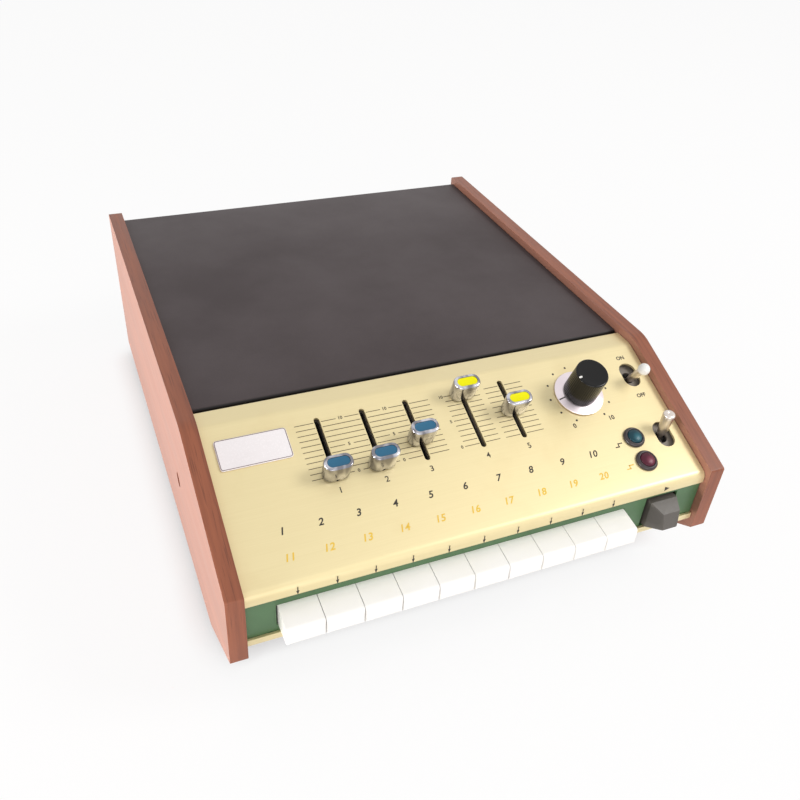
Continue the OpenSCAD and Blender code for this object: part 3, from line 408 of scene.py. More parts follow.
def newTree(name, inputs):
    tree = bpy.data.node_groups.new(name, "GeometryNodeTree")
    tree.interface.new_socket("Geometry", in_out="OUTPUT", socket_type="NodeSocketGeometry")
    for label, (kind, value) in inputs.items():
        socket = tree.interface.new_socket(label, in_out="INPUT", socket_type="NodeSocket" + kind)
        if value is not None:
            socket.default_value = value
    return tree, addNode(tree, "NodeGroupInput"), addNode(tree, "NodeGroupOutput")


def endTree(tree, geometry, given, target):
    real = addNode(tree, "GeometryNodeRealizeInstances", {0: geometry})
    done = addNode(tree, "GeometryNodeSetMaterial", {0: real.outputs[0], "Material": given.outputs["Material"]})
    tree.links.new(done.outputs[0], target.inputs[0])


def grown(name, tree, settings):
    holder = bpy.data.objects.new(name, bpy.data.meshes.new(name))
    bpy.context.scene.collection.objects.link(holder)
    modifier = holder.modifiers.new("grow", "NODES")
    modifier.node_group = tree
    for item in tree.interface.items_tree:
        if item.in_out == "INPUT" and item.name in settings:
            modifier[item.identifier] = settings[item.name]
    holder.update_tag()
    ready = holder.evaluated_get(bpy.context.evaluated_depsgraph_get())
    mesh = bpy.data.meshes.new_from_object(ready)
    bpy.data.objects.remove(holder)
    return mesh


def vectorOf(tree, x=0.0, y=0.0, z=0.0):
    return addNode(tree, "ShaderNodeCombineXYZ", {0: x, 1: y, 2: z}).outputs[0]


def gridTree():
    tree, given, target = newTree("printedBars", {
        "Count": ("Int", 11), "Pitch": ("Float", 3.2), "Length": ("Float", 20.0), "Thickness": ("Float", 0.2),
        "Relief": ("Float", 0.02), "Material": ("Material", None),
    })
    step = vectorOf(tree, y=given.outputs["Pitch"])
    line = addNode(tree, "GeometryNodeMeshLine", {"Count": given.outputs["Count"], "Offset": step})
    size = vectorOf(tree, given.outputs["Length"], given.outputs["Thickness"], given.outputs["Relief"])
    bar = addNode(tree, "GeometryNodeMeshCube", {"Size": size})
    rows = addNode(tree, "GeometryNodeInstanceOnPoints", {"Points": line.outputs[0], "Instance": bar.outputs[0]})
    endTree(tree, rows.outputs[0], given, target)
    return tree


def dialTree():
    tree, given, target = newTree("dialDots", {
        "Count": ("Int", 11), "Radius": ("Float", 18.4), "Start": ("Float", -150.0), "Step": ("Float", 30.0),
        "Dot": ("Float", 0.6), "Relief": ("Float", 0.02), "Material": ("Material", None),
    })
    line = addNode(tree, "GeometryNodeMeshLine", {"Count": given.outputs["Count"]})
    index = addNode(tree, "GeometryNodeInputIndex").outputs[0]
    turn = mathOf(tree, "RADIANS", mathOf(tree, "ADD", given.outputs["Start"],
                                          mathOf(tree, "MULTIPLY", index, given.outputs["Step"])))
    place = vectorOf(tree, mathOf(tree, "MULTIPLY", mathOf(tree, "SINE", turn), given.outputs["Radius"]),
                     mathOf(tree, "MULTIPLY", mathOf(tree, "COSINE", turn), given.outputs["Radius"]))
    spots = addNode(tree, "GeometryNodeSetPosition", {"Geometry": line.outputs[0], "Position": place})
    dot = addNode(tree, "GeometryNodeMeshCylinder", {
        "Vertices": 20, "Radius": given.outputs["Dot"], "Depth": given.outputs["Relief"],
    })
    dots = addNode(tree, "GeometryNodeInstanceOnPoints", {"Points": spots.outputs[0], "Instance": dot.outputs[0]})
    endTree(tree, dots.outputs[0], given, target)
    return tree


mark = {"length": 3.9, "width": 0.5, "head": 1.45, "headDrop": -0.36, "headScale": (1.3, 0.62, 1)}


def markTree():
    tree, given, target = newTree("keyMarks", {
        "Count": ("Int", 10), "Pitch": ("Float", 19.5), "Length": ("Float", 3.4), "Width": ("Float", 0.35),
        "Head": ("Float", 0.9), "Relief": ("Float", 0.02), "Material": ("Material", None),
    })
    line = addNode(tree, "GeometryNodeMeshLine", {
        "Count": given.outputs["Count"], "Offset": vectorOf(tree, given.outputs["Pitch"]),
    })
    shaft = addNode(tree, "GeometryNodeMeshCube", {
        "Size": vectorOf(tree, given.outputs["Width"], given.outputs["Length"], given.outputs["Relief"]),
    })
    head = addNode(tree, "GeometryNodeMeshCone", {
        "Vertices": 3, "Radius Top": given.outputs["Head"], "Radius Bottom": given.outputs["Head"],
        "Depth": given.outputs["Relief"],
    })
    drop = vectorOf(tree, y=mathOf(tree, "MULTIPLY", given.outputs["Length"], mark["headDrop"]))
    lowHead = addNode(tree, "GeometryNodeTransform", {
        "Geometry": head.outputs[0], "Translation": drop, "Rotation": (0, 0, math.radians(-90)),
        "Scale": mark["headScale"],
    })
    both = addNode(tree, "GeometryNodeJoinGeometry")
    tree.links.new(shaft.outputs[0], both.inputs[0])
    tree.links.new(lowHead.outputs[0], both.inputs[0])
    marks = addNode(tree, "GeometryNodeInstanceOnPoints", {"Points": line.outputs[0], "Instance": both.outputs[0]})
    endTree(tree, marks.outputs[0], given, target)
    return tree


def flutedTree():
    tree, given, target = newTree("flutedWall", {
        "Flutes": ("Int", 60), "Foot": ("Float", 9.8), "Crown": ("Float", 9.4), "Height": ("Float", 18.0),
        "Depth": ("Float", 0.16), "Steps": ("Int", 481), "Rows": ("Int", 7), "Material": ("Material", None),
    })
    sheet = addNode(tree, "GeometryNodeMeshGrid", {
        "Size X": 1.0, "Size Y": 1.0, "Vertices X": given.outputs["Steps"], "Vertices Y": given.outputs["Rows"],
    })
    spot = addNode(tree, "ShaderNodeSeparateXYZ", {0: addNode(tree, "GeometryNodeInputPosition").outputs[0]})
    turn = mathOf(tree, "MULTIPLY", spot.outputs["X"], math.tau)
    rise = mathOf(tree, "ADD", spot.outputs["Y"], 0.5)
    slim = mathOf(tree, "MULTIPLY", rise, mathOf(tree, "SUBTRACT", given.outputs["Crown"], given.outputs["Foot"]))
    wave = mathOf(tree, "ABSOLUTE", mathOf(tree, "SINE", mathOf(
        tree, "MULTIPLY", mathOf(tree, "MULTIPLY", turn, given.outputs["Flutes"]), 0.5)))
    radius = mathOf(tree, "ADD", mathOf(tree, "ADD", given.outputs["Foot"], slim),
                    mathOf(tree, "MULTIPLY", mathOf(tree, "SUBTRACT", wave, 1.0), given.outputs["Depth"]))
    place = vectorOf(tree, mathOf(tree, "MULTIPLY", mathOf(tree, "COSINE", turn), radius),
                     mathOf(tree, "MULTIPLY", mathOf(tree, "SINE", turn), radius),
                     mathOf(tree, "MULTIPLY", rise, given.outputs["Height"]))
    wall = addNode(tree, "GeometryNodeSetPosition", {"Geometry": sheet.outputs[0], "Position": place})
    closed = addNode(tree, "GeometryNodeMergeByDistance", {0: wall.outputs[0], "Distance": 0.0005})
    endTree(tree, closed.outputs[0], given, target)
    return tree


bars, dots, pointers, flutes = gridTree(), dialTree(), markTree(), flutedTree()
print("node trees made")


# Camera and lights

camera = {
    "place": (-178.953, -413.159, 381.822), "azimuth": -25.3, "elevation": 36.81, "roll": 4.33, "lens": 37.93,
    "sensor": 36, "near": 0.02, "far": 20,
}


def addCamera():
    data = bpy.data.cameras.new("camera")
    data.lens, data.sensor_width = camera["lens"], camera["sensor"]
    data.clip_start, data.clip_end = camera["near"], camera["far"]
    a, e, roll = (math.radians(camera[key]) for key in ("azimuth", "elevation", "roll"))
    back = Vector((math.sin(a) * math.cos(e), -math.cos(a) * math.cos(e), math.sin(e)))
    right = (-back).cross(Vector((0, 0, 1))).normalized()
    top = right.cross(-back)
    turnedRight = right * math.cos(roll) + top * math.sin(roll)
    turnedTop = top * math.cos(roll) - right * math.sin(roll)
    stand = bpy.data.objects.new("camera", data)
    stand.matrix_world = Matrix.Translation(Vector(camera["place"]) * mm) @ Matrix(
        (turnedRight, turnedTop, back)).transposed().to_4x4()
    bpy.context.scene.collection.objects.link(stand)
    bpy.context.scene.camera = stand


studio = {
    "fill": 0.58,
    "lamps": {
        "key": {"at": (1.15, -0.7, 1.25), "size": (0.6, 0.6), "power": 13.5, "colour": (1.0, 0.99, 0.97)},
        "left": {"at": (-1.2, -0.1, 0.1), "size": (0.9, 0.16), "power": 17.0, "colour": (1.0, 0.98, 0.97)},
        "front": {"at": (-0.3, -1.35, 0.26), "size": (0.9, 0.4), "power": 3.3, "colour": (1.0, 0.99, 0.98)},
    },
    "aim": (0.0, -0.02, 0.06),
    "floor": tint(250, 247, 247), "floorHalf": 6.0, "floorDrop": -0.0001,
    "floorGlow": 0.88, "contactReach": 0.024, "contactGlow": 0.35,    # less glow close to the case: its shadow shows
}


def addStudio():
    bpy.context.scene.view_settings.view_transform = "Standard"
    world = bpy.data.worlds.new("studio")
    bpy.context.scene.world = world
    world.use_nodes = True
    tree = world.node_tree
    seen = addNode(tree, "ShaderNodeLightPath").outputs
    direct = mathOf(tree, "MAXIMUM", seen["Is Camera Ray"],
                    mathOf(tree, "MAXIMUM", seen["Is Glossy Ray"], seen["Is Transmission Ray"]))
    strength = spread(tree, direct, 0, 1, studio["fill"], 1.0)
    sky = tree.nodes["Background"]
    sky.inputs["Color"].default_value = (1, 1, 1, 1)
    tree.links.new(strength, sky.inputs["Strength"])
    for name, lamp in studio["lamps"].items():
        data = bpy.data.lights.new(name, "AREA")
        data.shape, (data.size, data.size_y) = "RECTANGLE", lamp["size"]
        data.energy, data.color = lamp["power"], lamp["colour"]
        stand = bpy.data.objects.new(name, data)
        at = Vector(lamp["at"])
        stand.location = at
        stand.rotation_euler = (Vector(studio["aim"]) - at).to_track_quat("-Z", "Y").to_euler()
        bpy.context.scene.collection.objects.link(stand)
    half, low = studio["floorHalf"], studio["floorDrop"]
    floor = bpy.data.objects.new("floor", meshOf("floor", [
        (-half, -half, low), (half, -half, low), (half, half, low), (-half, half, low)], [(0, 1, 2, 3)]))
    bpy.context.scene.collection.objects.link(floor)
    material, tree, shader = newMaterial("floor", Roughness=0.9, Specular_IOR_Level=0.1)
    shader.inputs["Base Color"].default_value = studio["floor"]
    seen = addNode(tree, "ShaderNodeLightPath").outputs
    glow = addNode(tree, "ShaderNodeEmission", {"Color": (1, 1, 1, 1), "Strength": 1.0}).outputs[0]
    direct = mathOf(tree, "MAXIMUM", seen["Is Camera Ray"], seen["Is Glossy Ray"])
    near = addNode(tree, "ShaderNodeAmbientOcclusion", {"Distance": studio["contactReach"]}).outputs["AO"]
    clear = spread(tree, near, 0.4, 0.9, studio["contactGlow"], 1.0)
    share = mathOf(tree, "MULTIPLY", mathOf(tree, "MULTIPLY", direct, clear), studio["floorGlow"])
    mixed = addNode(tree, "ShaderNodeMixShader", {0: share, 1: shader.outputs[0], 2: glow})
    tree.links.new(mixed.outputs[0], tree.nodes["Material Output"].inputs["Surface"])
    floor.data.materials.append(material)


addCamera()
addStudio()
print("camera and studio made")


# Case

case = {"woodEdge": 0.8, "coverEdge": 0.35, "panelEdge": 0.14, "fasciaEdge": 0.12}
for side in ("left", "right"):
    softened(side + "_side_panel", case["woodEdge"], "case", [finish["wood"]], limit=20)
softened("top_cover", case["coverEdge"], "case", [finish["cover"]], segments=2)
softened("rear_panel", case["coverEdge"], "case", [finish["cover"]], segments=2)
softened("front_panel", case["panelEdge"], "case", [finish["gold"]], segments=2)
softened("lower_trim", case["panelEdge"], "case", [finish["gold"]], segments=2)
softened("key_fascia", case["fasciaEdge"], "case", [finish["green"]], segments=2)
print("case dressed")


# Badge plate: white enamel inside a thin dark line of painted shade along its edge

badge = {"edge": 0.3, "inset": 0.3, "line": 0.38, "corner": 1.5, "relief": 0.02}
softened("badge_plate", badge["edge"], "case", [finish["badge"]])


def frameMesh(name, low, high, inset, line, corner, height):
    middle = (low + high) / 2
    rings = []
    for grow, lift in ((0, 0), (0, height), (-2 * line, height), (-2 * line, 0)):
        ring = ringOf(high.x - low.x - 2 * inset + grow, high.y - low.y - 2 * inset + grow, corner + grow / 2)
        rings.append([(x, y, lift) for x, y in ring])
    count = len(rings[0])
    points = [point for ring in rings for point in ring]
    faces = [(row * count + step, row * count + (step + 1) % count,
              (row + 1) % 4 * count + (step + 1) % count, (row + 1) % 4 * count + step)
             for row in range(4) for step in range(count)]
    return meshOf(name, points, faces, onPanel(middle.x, middle.y, high.z))


badgeLow, badgeHigh = panelBox("badge_plate")
# painted shade: a thin dark ring just inside the badge's edge
line = frameMesh("badge_edge_shade", badgeLow, badgeHigh, badge["inset"], badge["line"], badge["corner"], badge["relief"])
addPiece("badge_edge_shade", line, "case", [finish["badgeEdgeShade"]])


# Keys

keys = {"edge": 0.7, "startEdge": 0.45}
for number in range(1, 11):
    softened(f"key_{number}", keys["edge"], f"key_{number}_button", [finish["ivory"]], limit=40)
# painted highlight: the start key's bevels take the lighter grey
softened("start_key", keys["startEdge"], "start_button", [finish["greyKey"], finish["startEdgeHighlight"]],
         segments=2, limit=25, rimMaterial=1)
print("keys dressed")


# Slider knobs: a plated cap with a pale rim, a coloured insert and a notch in its foot

cap = {
    "foot": ((1.8, 0.4, 0.5, 0.0), (0.8, -0.2, 0.3, 0.6)),      # off the width, the depth and the corner, and height
    "crown": ((0.0, 0.0, 0.4, -1.1), (0.25, 0.25, 0.5, -0.55), (0.9, 0.9, 0.8, -0.12), (1.4, 1.4, 1.0, 0.0)),
    "cornerShare": 0.6, "steps": 9, "wall": 3.5, "lead": 0.25, "recess": 2.4, "taper": 0.12, "round": 0.02,
    "insert": ((-0.1, -2.2), (-0.1, -0.35), (-0.5, -0.16), (-1.1, -0.22), (-2.0, -0.3)),     # size and height
    "notch": 1.7, "notchHalf": 1.5,
}


def addCap(number):
    name = f"slider_knob_{number}"
    low, high = panelBox(name)
    middle = (low + high) / 2
    width, depth = high.x - low.x, high.y - low.y
    place = onPanel(middle.x, middle.y)
    rows = []
    for base, rings in ((low.z, cap["foot"]), (high.z, cap["crown"])):
        for slim, thin, tighten, lift in rings:
            corner = (depth - thin) / 2 - tighten * cap["cornerShare"]
            ring = ringOf(width - slim, depth - thin, corner, cap["steps"])
            rows.append([(x, y, base + lift) for x, y in ring])
    inner = (width - cap["wall"], depth - cap["wall"])

    def pill(grow, height):
        wide, deep = inner[0] + grow, inner[1] + grow
        return [(x, y, high.z + height) for x, y in ringOf(wide, deep, deep / 2 - cap["round"], cap["steps"])]

    rows += [pill(0.0, 0.0), pill(-cap["taper"], -cap["lead"]), pill(-cap["taper"], -cap["recess"])]
    body = loft(name, rows, place, [0, 0, 0, 1, 1, 1, 1, 0, 0])
    front = place @ Matrix.Translation((0, -depth / 2, low.z)) @ Matrix.Rotation(math.radians(90), 4, "X")
    cutter = lathe("notch", [(cap["notch"], -cap["notchHalf"]), (cap["notch"], cap["notchHalf"])], front, 24)
    tool = bpy.data.objects.new("notch", cutter)
    bpy.context.scene.collection.objects.link(tool)
    result = baked(name, body, ("BOOLEAN", {"operation": "DIFFERENCE", "object": tool, "solver": "EXACT"}))
    bpy.data.objects.remove(tool)
    smoothed(result, 32)
    addPiece(name + "_cap", result, f"slider_{number}", [finish["chrome"], finish["satinRim"]], [name])
    hue = "blue" if number < 4 else "yellow"
    insert = loft(f"slider_insert_{number}", [pill(grow, height) for grow, height in cap["insert"]], place)
    smoothed(insert, 40)
    addPiece(f"slider_insert_{number}_dished", insert, f"slider_{number}",
             [finish[hue + "Insert"]], [f"slider_insert_{number}"])


for number in range(1, 6):
    addCap(number)
print("slider caps made")


# Tempo knob on its bright skirt

tempo = {
    "knob": 9.8, "crown": 9.42, "foot": 2.55, "rim": 20.9, "top": 21.5, "turn": 97, "steps": 144,
    "flutes": 48, "fluteDepth": 0.13, "fluteSteps": 10,
    "shoulder": ((-0.35, -2), (-0.2, -0.1), (-0.02, 0), (-0.18, 0.3)),      # off the crown's radius and the rim
    "edge": ((-0.45, -0.1), (-0.8, 0), (-1.2, -0.06)),                      # off the crown's radius and the top
    "dish": ((5, -0.1), (0, -0.12)),                                        # radius, and height off the top
    "tickAt": 8.2, "tick": ((1.25, 2.0, 0.55, -0.5), (1.25, 2.0, 0.55, -0.08), (1.05, 1.8, 0.45, 0.0)),
    "skirt": 14.7, "bore": 3.1, "skirtFoot": 0.5, "skirtTop": 2.5,
    "skirtEdge": ((-0.35, 0.5), (-0.08, 0.62), (0, 0.9), (-0.02, 1.22), (-0.2, 1.42), (-0.5, 1.5)),
    "skirtCone": ((11.3, 2.28), (10.6, 2.44), (10.2, 2.5)),
    "pointer": (0.75, 3.9, 0.2), "pointerAt": (0, 12.35, 2.0), "pointerLean": -13, "pointerHeights": (-0.15, 0.05),
}


def addTempo():
    pose = panelFrame @ Matrix.Translation(panelFrame.inverted() @ tempoAt) @ Matrix.Rotation(
        math.radians(tempo["turn"]), 4, "Z") @ Matrix.Scale(mm, 4)
    wall = grown("tempo_wall", flutes, {
        "Flutes": tempo["flutes"], "Foot": tempo["knob"], "Crown": tempo["crown"],
        "Height": tempo["rim"] - tempo["foot"], "Depth": tempo["fluteDepth"],
        "Steps": tempo["flutes"] * tempo["fluteSteps"] + 1, "Material": finish["black"],
    })
    wall.transform(pose @ Matrix.Translation((0, 0, tempo["foot"])))
    smoothed(wall, 50)
    addPiece("tempo_knob_wall", wall, "tempo_control", [finish["black"]], ["tempo_knob"])
    crown, rim, top = tempo["crown"], tempo["rim"], tempo["top"]
    profile = [(0, rim + tempo["shoulder"][0][1])]
    profile += [(crown + inset, rim + lift) for inset, lift in tempo["shoulder"]]
    profile += [(crown + inset, top + lift) for inset, lift in tempo["edge"]]
    profile += [(radius, top + lift) for radius, lift in tempo["dish"]]
    cup = lathe("tempo_crown", profile, pose, tempo["steps"], [0, 0, 0, 0, 0, 0, 1, 1, 1, 1])
    smoothed(cup, 35)
    addPiece("tempo_knob_crown", cup, "tempo_control", [finish["black"], finish["knobTop"]])
    tick = loft("tempo_tick", [
        [(x, y + tempo["tickAt"], top + lift) for x, y in ringOf(wide, deep, corner)]
        for wide, deep, corner, lift in tempo["tick"]
    ], pose)
    addPiece("tempo_tick", tick, "tempo_control", [finish["white"]])
    profile = [(tempo["bore"], tempo["skirtFoot"])]
    profile += [(tempo["skirt"] + inset, height) for inset, height in tempo["skirtEdge"]]
    profile += [*tempo["skirtCone"], (tempo["bore"], tempo["skirtTop"])]
    disc = lathe("tempo_skirt", profile, pose, tempo["steps"])
    smoothed(disc, 28)
    addPiece("tempo_skirt_turned", disc, "tempo_control", [finish["skirt"]], ["tempo_skirt"])
    slope = Matrix.Translation(tempo["pointerAt"]) @ Matrix.Rotation(math.radians(tempo["pointerLean"]), 4, "X")
    pointer = loft("tempo_pointer", [
        [(x, y, height) for x, y in ringOf(*tempo["pointer"], 3)] for height in tempo["pointerHeights"]
    ], pose @ slope)
    addPiece("tempo_pointer", pointer, "tempo_control", [finish["blackInk"]])


addTempo()
print("tempo knob made")


# Toggle levers

lever = {
    "length": 22.7, "tip": 3.5, "neck": 1.7, "neckFrom": 3.4, "neckTo": 5.2, "ball": 3.1, "tilt": 14, "steps": 64,
    "batTaper": ((-0.95, 8.3), (-0.75, 9), (-0.4, 14)),                      # off the tip's radius, and height
    "batEnd": ((-0.02, -3), (0, -1.3), (-0.08, -0.8), (-0.35, -0.35), (-0.8, -0.08), (-1.2, 0)),   # off the end
    "batDimple": ((1.2, 0), (1.05, -0.08), (0.7, -0.3), (0, -0.4)),          # radius, and height off the end
    "beadAt": 22.6, "collar": 2.5, "stem": 2.25, "stemFrom": 8.4,
    "stemEnd": ((0, -0.4), (-0.12, -0.12)), "pin": 1.2, "pinFrom": -0.1, "pinTo": 0.5,        # off the collar
    "beadFoot": ((0, 0), (2.15, 0), (2.4, 0.15)), "beadArc": range(68, 181, 7), "ballArc": range(0, 141, 10),
}


def leverPose(joint, tilt):
    at = panelFrame.inverted() @ Vector(joints[joint]["pos_m"])
    return panelFrame @ Matrix.Translation(at) @ Matrix.Rotation(math.radians(tilt), 4, "X") @ Matrix.Scale(mm, 4)


def arcOf(radius, height, angles):
    return [(radius * math.sin(math.radians(angle)), height - radius * math.cos(math.radians(angle)))
            for angle in angles]


def addLevers():
    tip, length = lever["tip"], lever["length"]
    root = arcOf(lever["ball"], 0, lever["ballArc"])
    root += [(lever["neck"], lever["neckFrom"]), (lever["neck"], lever["neckTo"])]
    profile = root + [(tip + inset, height) for inset, height in lever["batTaper"]]
    profile += [(tip + inset, length + lift) for inset, lift in lever["batEnd"]]
    profile += [(radius, length + lift) for radius, lift in lever["batDimple"]]
    bat = lathe("row_lever", profile, leverPose("row_toggle_tilt", -lever["tilt"]), lever["steps"])
    smoothed(bat, 40)
    addPiece("row_lever_bat", bat, "row_toggle", [finish["lever"]], ["row_lever"])
    pose = leverPose("power_toggle_tilt", lever["tilt"])
    low = lever["beadAt"] - lever["collar"]
    profile = root + [(lever["stem"], lever["stemFrom"])]
    profile += [(lever["stem"] + inset, low + lift) for inset, lift in lever["stemEnd"]]
    profile += [(lever["pin"], low + lever["pinFrom"]), (lever["pin"], low + lever["pinTo"]), (0, low + lever["pinTo"])]
    stem = lathe("power_lever", profile, pose, lever["steps"])
    smoothed(stem, 40)
    addPiece("power_lever_stem", stem, "power_toggle", [finish["lever"]], ["power_lever"])
    profile = [(radius, low + lift) for radius, lift in lever["beadFoot"]]
    profile += arcOf(tip, lever["beadAt"], lever["beadArc"])
    bead = lathe("power_lever_tip", profile, pose, lever["steps"])
    smoothed(bead, 50)
    addPiece("power_lever_bead", bead, "power_toggle", [finish["white"]], ["power_lever_tip"])


addLevers()


# Jewel lamps: a dark ring round a domed lens

lamp = {
    "ring": 6.3, "lens": 4.3, "lensFoot": -2.5, "shoulder": 1.85, "rise": 3.45,
    "ringProfile": (
        (4.35, -5.9), (4.9, -5.9), (4.9, 0.1), (6.2, 0.1), (6.3, 0.25), (6.3, 0.8), (6.22, 1.1), (5.9, 1.5),
        (5.5, 1.9), (5.1, 2.12), (4.85, 2.15), (4.6, 2.05), (4.42, 1.85), (4.35, 1.6),
    ),
    "highlightAt": (0.9, -1.2, 3.0), "highlightFull": 0.0006, "highlightEnd": 0.0034, "speck": 900,      # painted highlight: a lighter patch on each lens
    "teal": (tint(4, 54, 66), tint(10, 98, 112)), "red": (tint(74, 14, 36), tint(122, 32, 62)),
}


def jewelFinish(name, deep, bright, centre):
    material, tree, shader = newMaterial(name, Roughness=0.36, Coat_Weight=0.1, Coat_Roughness=0.1,
                                         Specular_IOR_Level=0.3)
    away = addNode(tree, "ShaderNodeVectorMath", {0: placeOf(tree), 1: centre}, operation="DISTANCE")
    # painted highlight: the lens colour lightens around a spot off its centre
    highlightPatch = spread(tree, away.outputs["Value"], lamp["highlightFull"], lamp["highlightEnd"], 1.0, 0.0)
    speck = noiseOf(tree, placeOf(tree), lamp["speck"], detail=3)
    mask = mathOf(tree, "MULTIPLY", highlightPatch, spread(tree, speck, 0.3, 0.6, 0.7, 1.0))
    link(tree, blendOf(tree, mask, deep, bright), shader, "Base Color")
    return material


def addLamps():
    ringLow, ringHigh = panelBox("lamp_bezels")
    x = (ringLow.x + ringHigh.x) / 2
    rings = []
    for hue, v in (("teal", ringHigh.y - lamp["ring"]), ("red", ringLow.y + lamp["ring"])):
        place = onPanel(x, v)
        rings.append(lathe("ring", lamp["ringProfile"], place))
        wide, shoulder, rise = lamp["lens"], lamp["shoulder"], lamp["rise"]
        dome = [(0, lamp["lensFoot"]), (wide, lamp["lensFoot"]), (wide, shoulder)]
        for angle in range(10, 91, 10):
            turn = math.radians(angle)
            dome.append((wide * math.cos(turn), shoulder + (rise - shoulder) * math.sin(turn)))
        lens = lathe(hue + "_lens", dome, place, 72)
        smoothed(lens, 40)
        glass = jewelFinish(hue + "Jewel", *lamp[hue], place @ Vector(lamp["highlightAt"]))
        addPiece(hue + "_jewel", lens, "case", [glass], [hue + "_lens"])
    bezels = joined("lamp_bezels", rings)
    smoothed(bezels, 32)
    addPiece("lamp_rings", bezels, "case", [finish["bezel"]], ["lamp_bezels"])


addLamps()
print("levers and lamps made")


# Printed scales, numbers and marks

printing = {
    "lift": 0.03, "relief": 0.02, "edge": 0.06, "boldEdge": 0.1,
    "lineThickness": 0.38, "rows": 11, "slotHalf": 2.0, "digitHalf": 2.4,
    "lowRow": {"blue": 51.2, "fourth": 50.8, "fifth": 50.6},       # heights up the slope
    "highRow": {"blue": 83.2, "fourth": 82.9, "fifth": 82.7},
    "blueSpan": (-83.4, -7.8), "fourthSpan": (1.4, 22.6), "fifthSpan": (26.2, 49.6),
    "scaleSize": 2.6, "levelColumn": -0.3, "levelMiddle": 66.9,
    "sliderSize": 4.6, "sliderRow": 42.8,
    "dialSize": 3.8, "dialWords": (("0", 68.6, 48.0), ("10", 92.9, 47.9)), "dialDot": 0.65,
    "powerSize": 3.4, "powerColumn": 118.9, "powerWords": (("ON", 84.5), ("OFF", 57.6)),
    "keySize": 5.4, "keySlant": 0.25, "keyEdge": 0.12, "keySpacing": 1.1,
    "keyRows": (("black_row", 28.9, 1, "blackInk"), ("yellow_row", 15.2, 11, "yellowInk")),
    "markRise": 2.9, "startHalf": (1.6, 1.5),
}


def printedText(name, words, size, place, bold=printing["edge"], slant=0.0, spacing=1.0):
    curve = bpy.data.curves.new(name, "FONT")
    curve.body, curve.size, curve.shear, curve.offset = words, size, slant, bold
    curve.align_x, curve.align_y = "CENTER", "CENTER"
    curve.space_character, curve.extrude, curve.resolution_u = spacing, printing["relief"] / 2, 4
    holder = bpy.data.objects.new(name, curve)
    bpy.context.scene.collection.objects.link(holder)
    mesh = bpy.data.meshes.new_from_object(holder.evaluated_get(bpy.context.evaluated_depsgraph_get()))
    bpy.data.objects.remove(holder)
    mesh.transform(place)
    mesh.materials.clear()
    return mesh


def rowBars(left, right, lowRow, highRow, first=0, count=printing["rows"]):
    pitch = (highRow - lowRow) / (printing["rows"] - 1)
    mesh = grown("bars", bars, {
        "Count": count, "Pitch": pitch, "Length": right - left, "Thickness": printing["lineThickness"],
        "Relief": printing["relief"], "Material": finish["lineInk"],
    })
    mesh.transform(onPanel((left + right) / 2, lowRow + first * pitch, printing["lift"]))
    return mesh


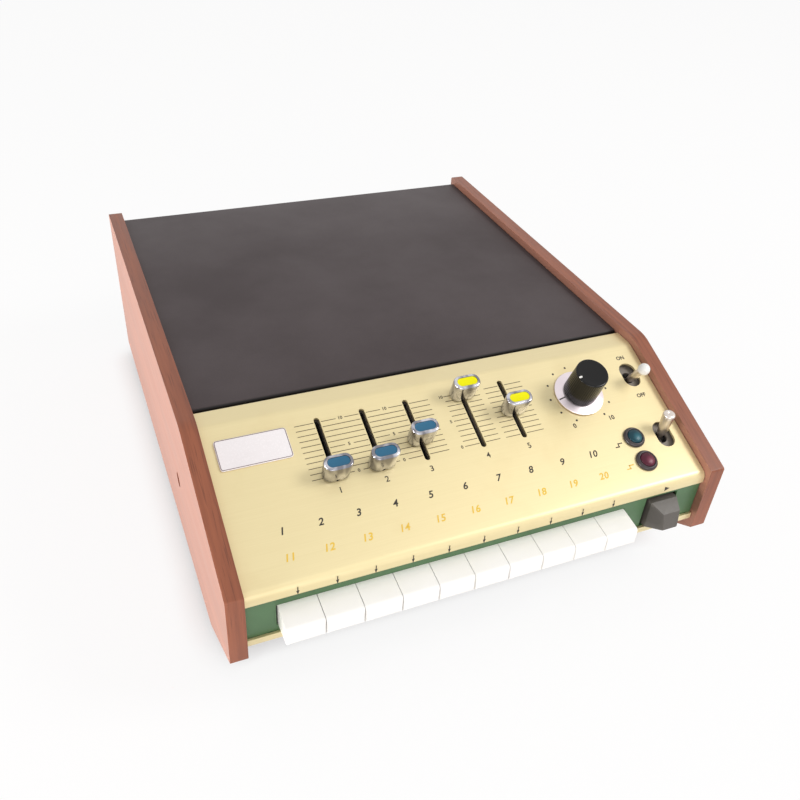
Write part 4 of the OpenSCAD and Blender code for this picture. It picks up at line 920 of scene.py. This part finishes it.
def addScales():
    middles = [sum(corner.x for corner in panelBox(f"slider_knob_{number}")) / 2 for number in range(1, 6)]
    gap, digit = printing["slotHalf"], printing["digitHalf"]
    low, high = printing["lowRow"], printing["highRow"]
    meshes = []
    first, second, third, fourth, fifth = middles
    between = [(first + second) / 2, (second + third) / 2]
    start, end = printing["blueSpan"]
    edges = [start, first - gap, first + gap, between[0] - digit, between[0] + digit, second - gap, second + gap,
             between[1] - digit, between[1] + digit, third - gap, third + gap, end]
    for left, right in zip(edges[0::2], edges[1::2]):
        meshes.append(rowBars(left, right, low["blue"], high["blue"]))
    for middle in between:
        for row in (1, 6):                             # the numbers stand at rows 0, 5 and 10
            meshes.append(rowBars(middle - digit, middle + digit, low["blue"], high["blue"], row, 4))
    for key, middle in (("fourth", fourth), ("fifth", fifth)):
        start, end = printing[key + "Span"]
        meshes.append(rowBars(start, middle - gap, low[key], high[key]))
        meshes.append(rowBars(middle + gap, end, low[key], high[key]))
    lines = joined("scale_lines", meshes)
    addPiece("scale_lines", lines, "case", [finish["lineInk"]])
    lift, bold = printing["lift"], printing["boldEdge"]
    words = []
    for x in between:
        for label, v in (("10", high["blue"]), ("5", (low["blue"] + high["blue"]) / 2), ("0", low["blue"])):
            words.append(("scale", label, printing["scaleSize"], onPanel(x, v, lift)))
    for label, v in (("10", high["fourth"]), ("5", printing["levelMiddle"]), ("0", low["fourth"])):
        words.append(("scale", label, printing["scaleSize"], onPanel(printing["levelColumn"], v, lift)))
    for number, x in enumerate(middles):
        words.append(("slider", str(number + 1), printing["sliderSize"], onPanel(x, printing["sliderRow"], lift)))
    for label, x, v in printing["dialWords"]:
        words.append(("dial", label, printing["dialSize"], onPanel(x, v, lift), bold))
    for label, v in printing["powerWords"]:
        words.append(("power", label, printing["powerSize"], onPanel(printing["powerColumn"], v, lift), bold))
    thin = [printedText(*word) for word in words]
    addPiece("panel_numbers", joined("panel_numbers", thin), "case", [finish["blackInk"]])
    rowX = [sum(corner.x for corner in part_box(f"key_{number}")) / 2 / mm for number in range(1, 11)]
    style = (printing["keyEdge"], printing["keySlant"], printing["keySpacing"])
    for name, v, first, ink in printing["keyRows"]:
        row = [printedText(name, str(first + index), printing["keySize"], onPanel(x, v, lift), *style)
               for index, x in enumerate(rowX)]
        addPiece(name + "_numbers", joined(name, row), "case", [finish[ink]])
    dial = grown("dial", dots, {
        "Material": finish["blackInk"], "Dot": printing["dialDot"], "Relief": printing["relief"],
    })
    at = panelFrame.inverted() @ tempoAt / mm
    dial.transform(onPanel(at.x, at.y, lift))
    addPiece("dial_dots", dial, "case", [finish["blackInk"]])
    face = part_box("front_panel")[0].y - lift * mm
    marks = grown("marks", pointers, {
        "Material": finish["blackInk"], "Pitch": (rowX[-1] - rowX[0]) / 9, "Relief": printing["relief"],
        "Length": mark["length"], "Width": mark["width"], "Head": mark["head"],
    })
    base = Vector((rowX[0] * mm, face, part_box("front_panel")[0].z + printing["markRise"] * mm))
    upright = Matrix.Translation(base) @ Matrix.Rotation(math.radians(90), 4, "X") @ Matrix.Scale(mm, 4)
    marks.transform(upright)
    addPiece("key_marks", marks, "case", [finish["blackInk"]])
    startX = sum(corner.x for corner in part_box("start_key")) / 2
    wide, tall = printing["startHalf"]
    points = [(x, y, z) for z in (0, printing["relief"]) for x, y in ((-wide, -tall), (wide, 0), (-wide, tall))]
    sides = [(0, 2, 1), (3, 4, 5), (0, 1, 4, 3), (1, 2, 5, 4), (2, 0, 3, 5)]
    upright.translation.x = startX
    sign = meshOf("start_sign", points, sides, upright)
    addPiece("start_sign", sign, "case", [finish["blackInk"]])


stepSign = {
    "path": ((-2.3, -1.0), (-0.2, -1.0), (-0.2, 0.9), (2.3, 0.9)), "half": 0.32,
    "signs": (("black_step", 88.4, 30.5, "blackInk"), ("yellow_step", 88.3, 16.5, "yellowInk")),
}


def addSteps():
    path, half = stepSign["path"], stepSign["half"]
    for name, x, v, ink in stepSign["signs"]:
        points, faces = [], []
        for (x0, y0), (x1, y1) in zip(path, path[1:]):
            low = (min(x0, x1) - half, min(y0, y1) - half)
            high = (max(x0, x1) + half, max(y0, y1) + half)
            base = len(points)
            for z in (0, printing["relief"]):
                points += [(low[0], low[1], z), (high[0], low[1], z), (high[0], high[1], z), (low[0], high[1], z)]
            faces += [tuple(base + corner for corner in face) for face in (
                (3, 2, 1, 0), (4, 5, 6, 7), (0, 1, 5, 4), (1, 2, 6, 5), (2, 3, 7, 6), (3, 0, 4, 7))]
        sign = meshOf(name, points, faces, onPanel(x, v, printing["lift"]))
        addPiece(name, sign, "case", [finish[ink]])


addScales()
addSteps()
print("printing made")


# Finishes of the pieces that keep their own shape

kept = {
    "screw": ("side_panel_screws", "case_screws", "foot_screws"),
    "tray": ("bottom_tray",),
    "rubber": ("rubber_feet",),
    "plate": ("control_plate",),
    "steel": ("key_switch_bank", "tempo_shaft", "pilot_lamps")
             + tuple(f"slider_lever_{number}" for number in range(1, 6)),
    "potBody": ("slide_pots", "tempo_pot"),
    "darkPlastic": ("power_switch_body", "row_switch_body", "rear_jacks", "fuse_holder", "cable_bush"),
    "board": ("circuit_board",),
    "coil": ("power_transformer",),
}
for name, members in kept.items():
    for member in members:
        for spot in nodes[member].material_slots:
            spot.material = finish[name]
print("finishes set")
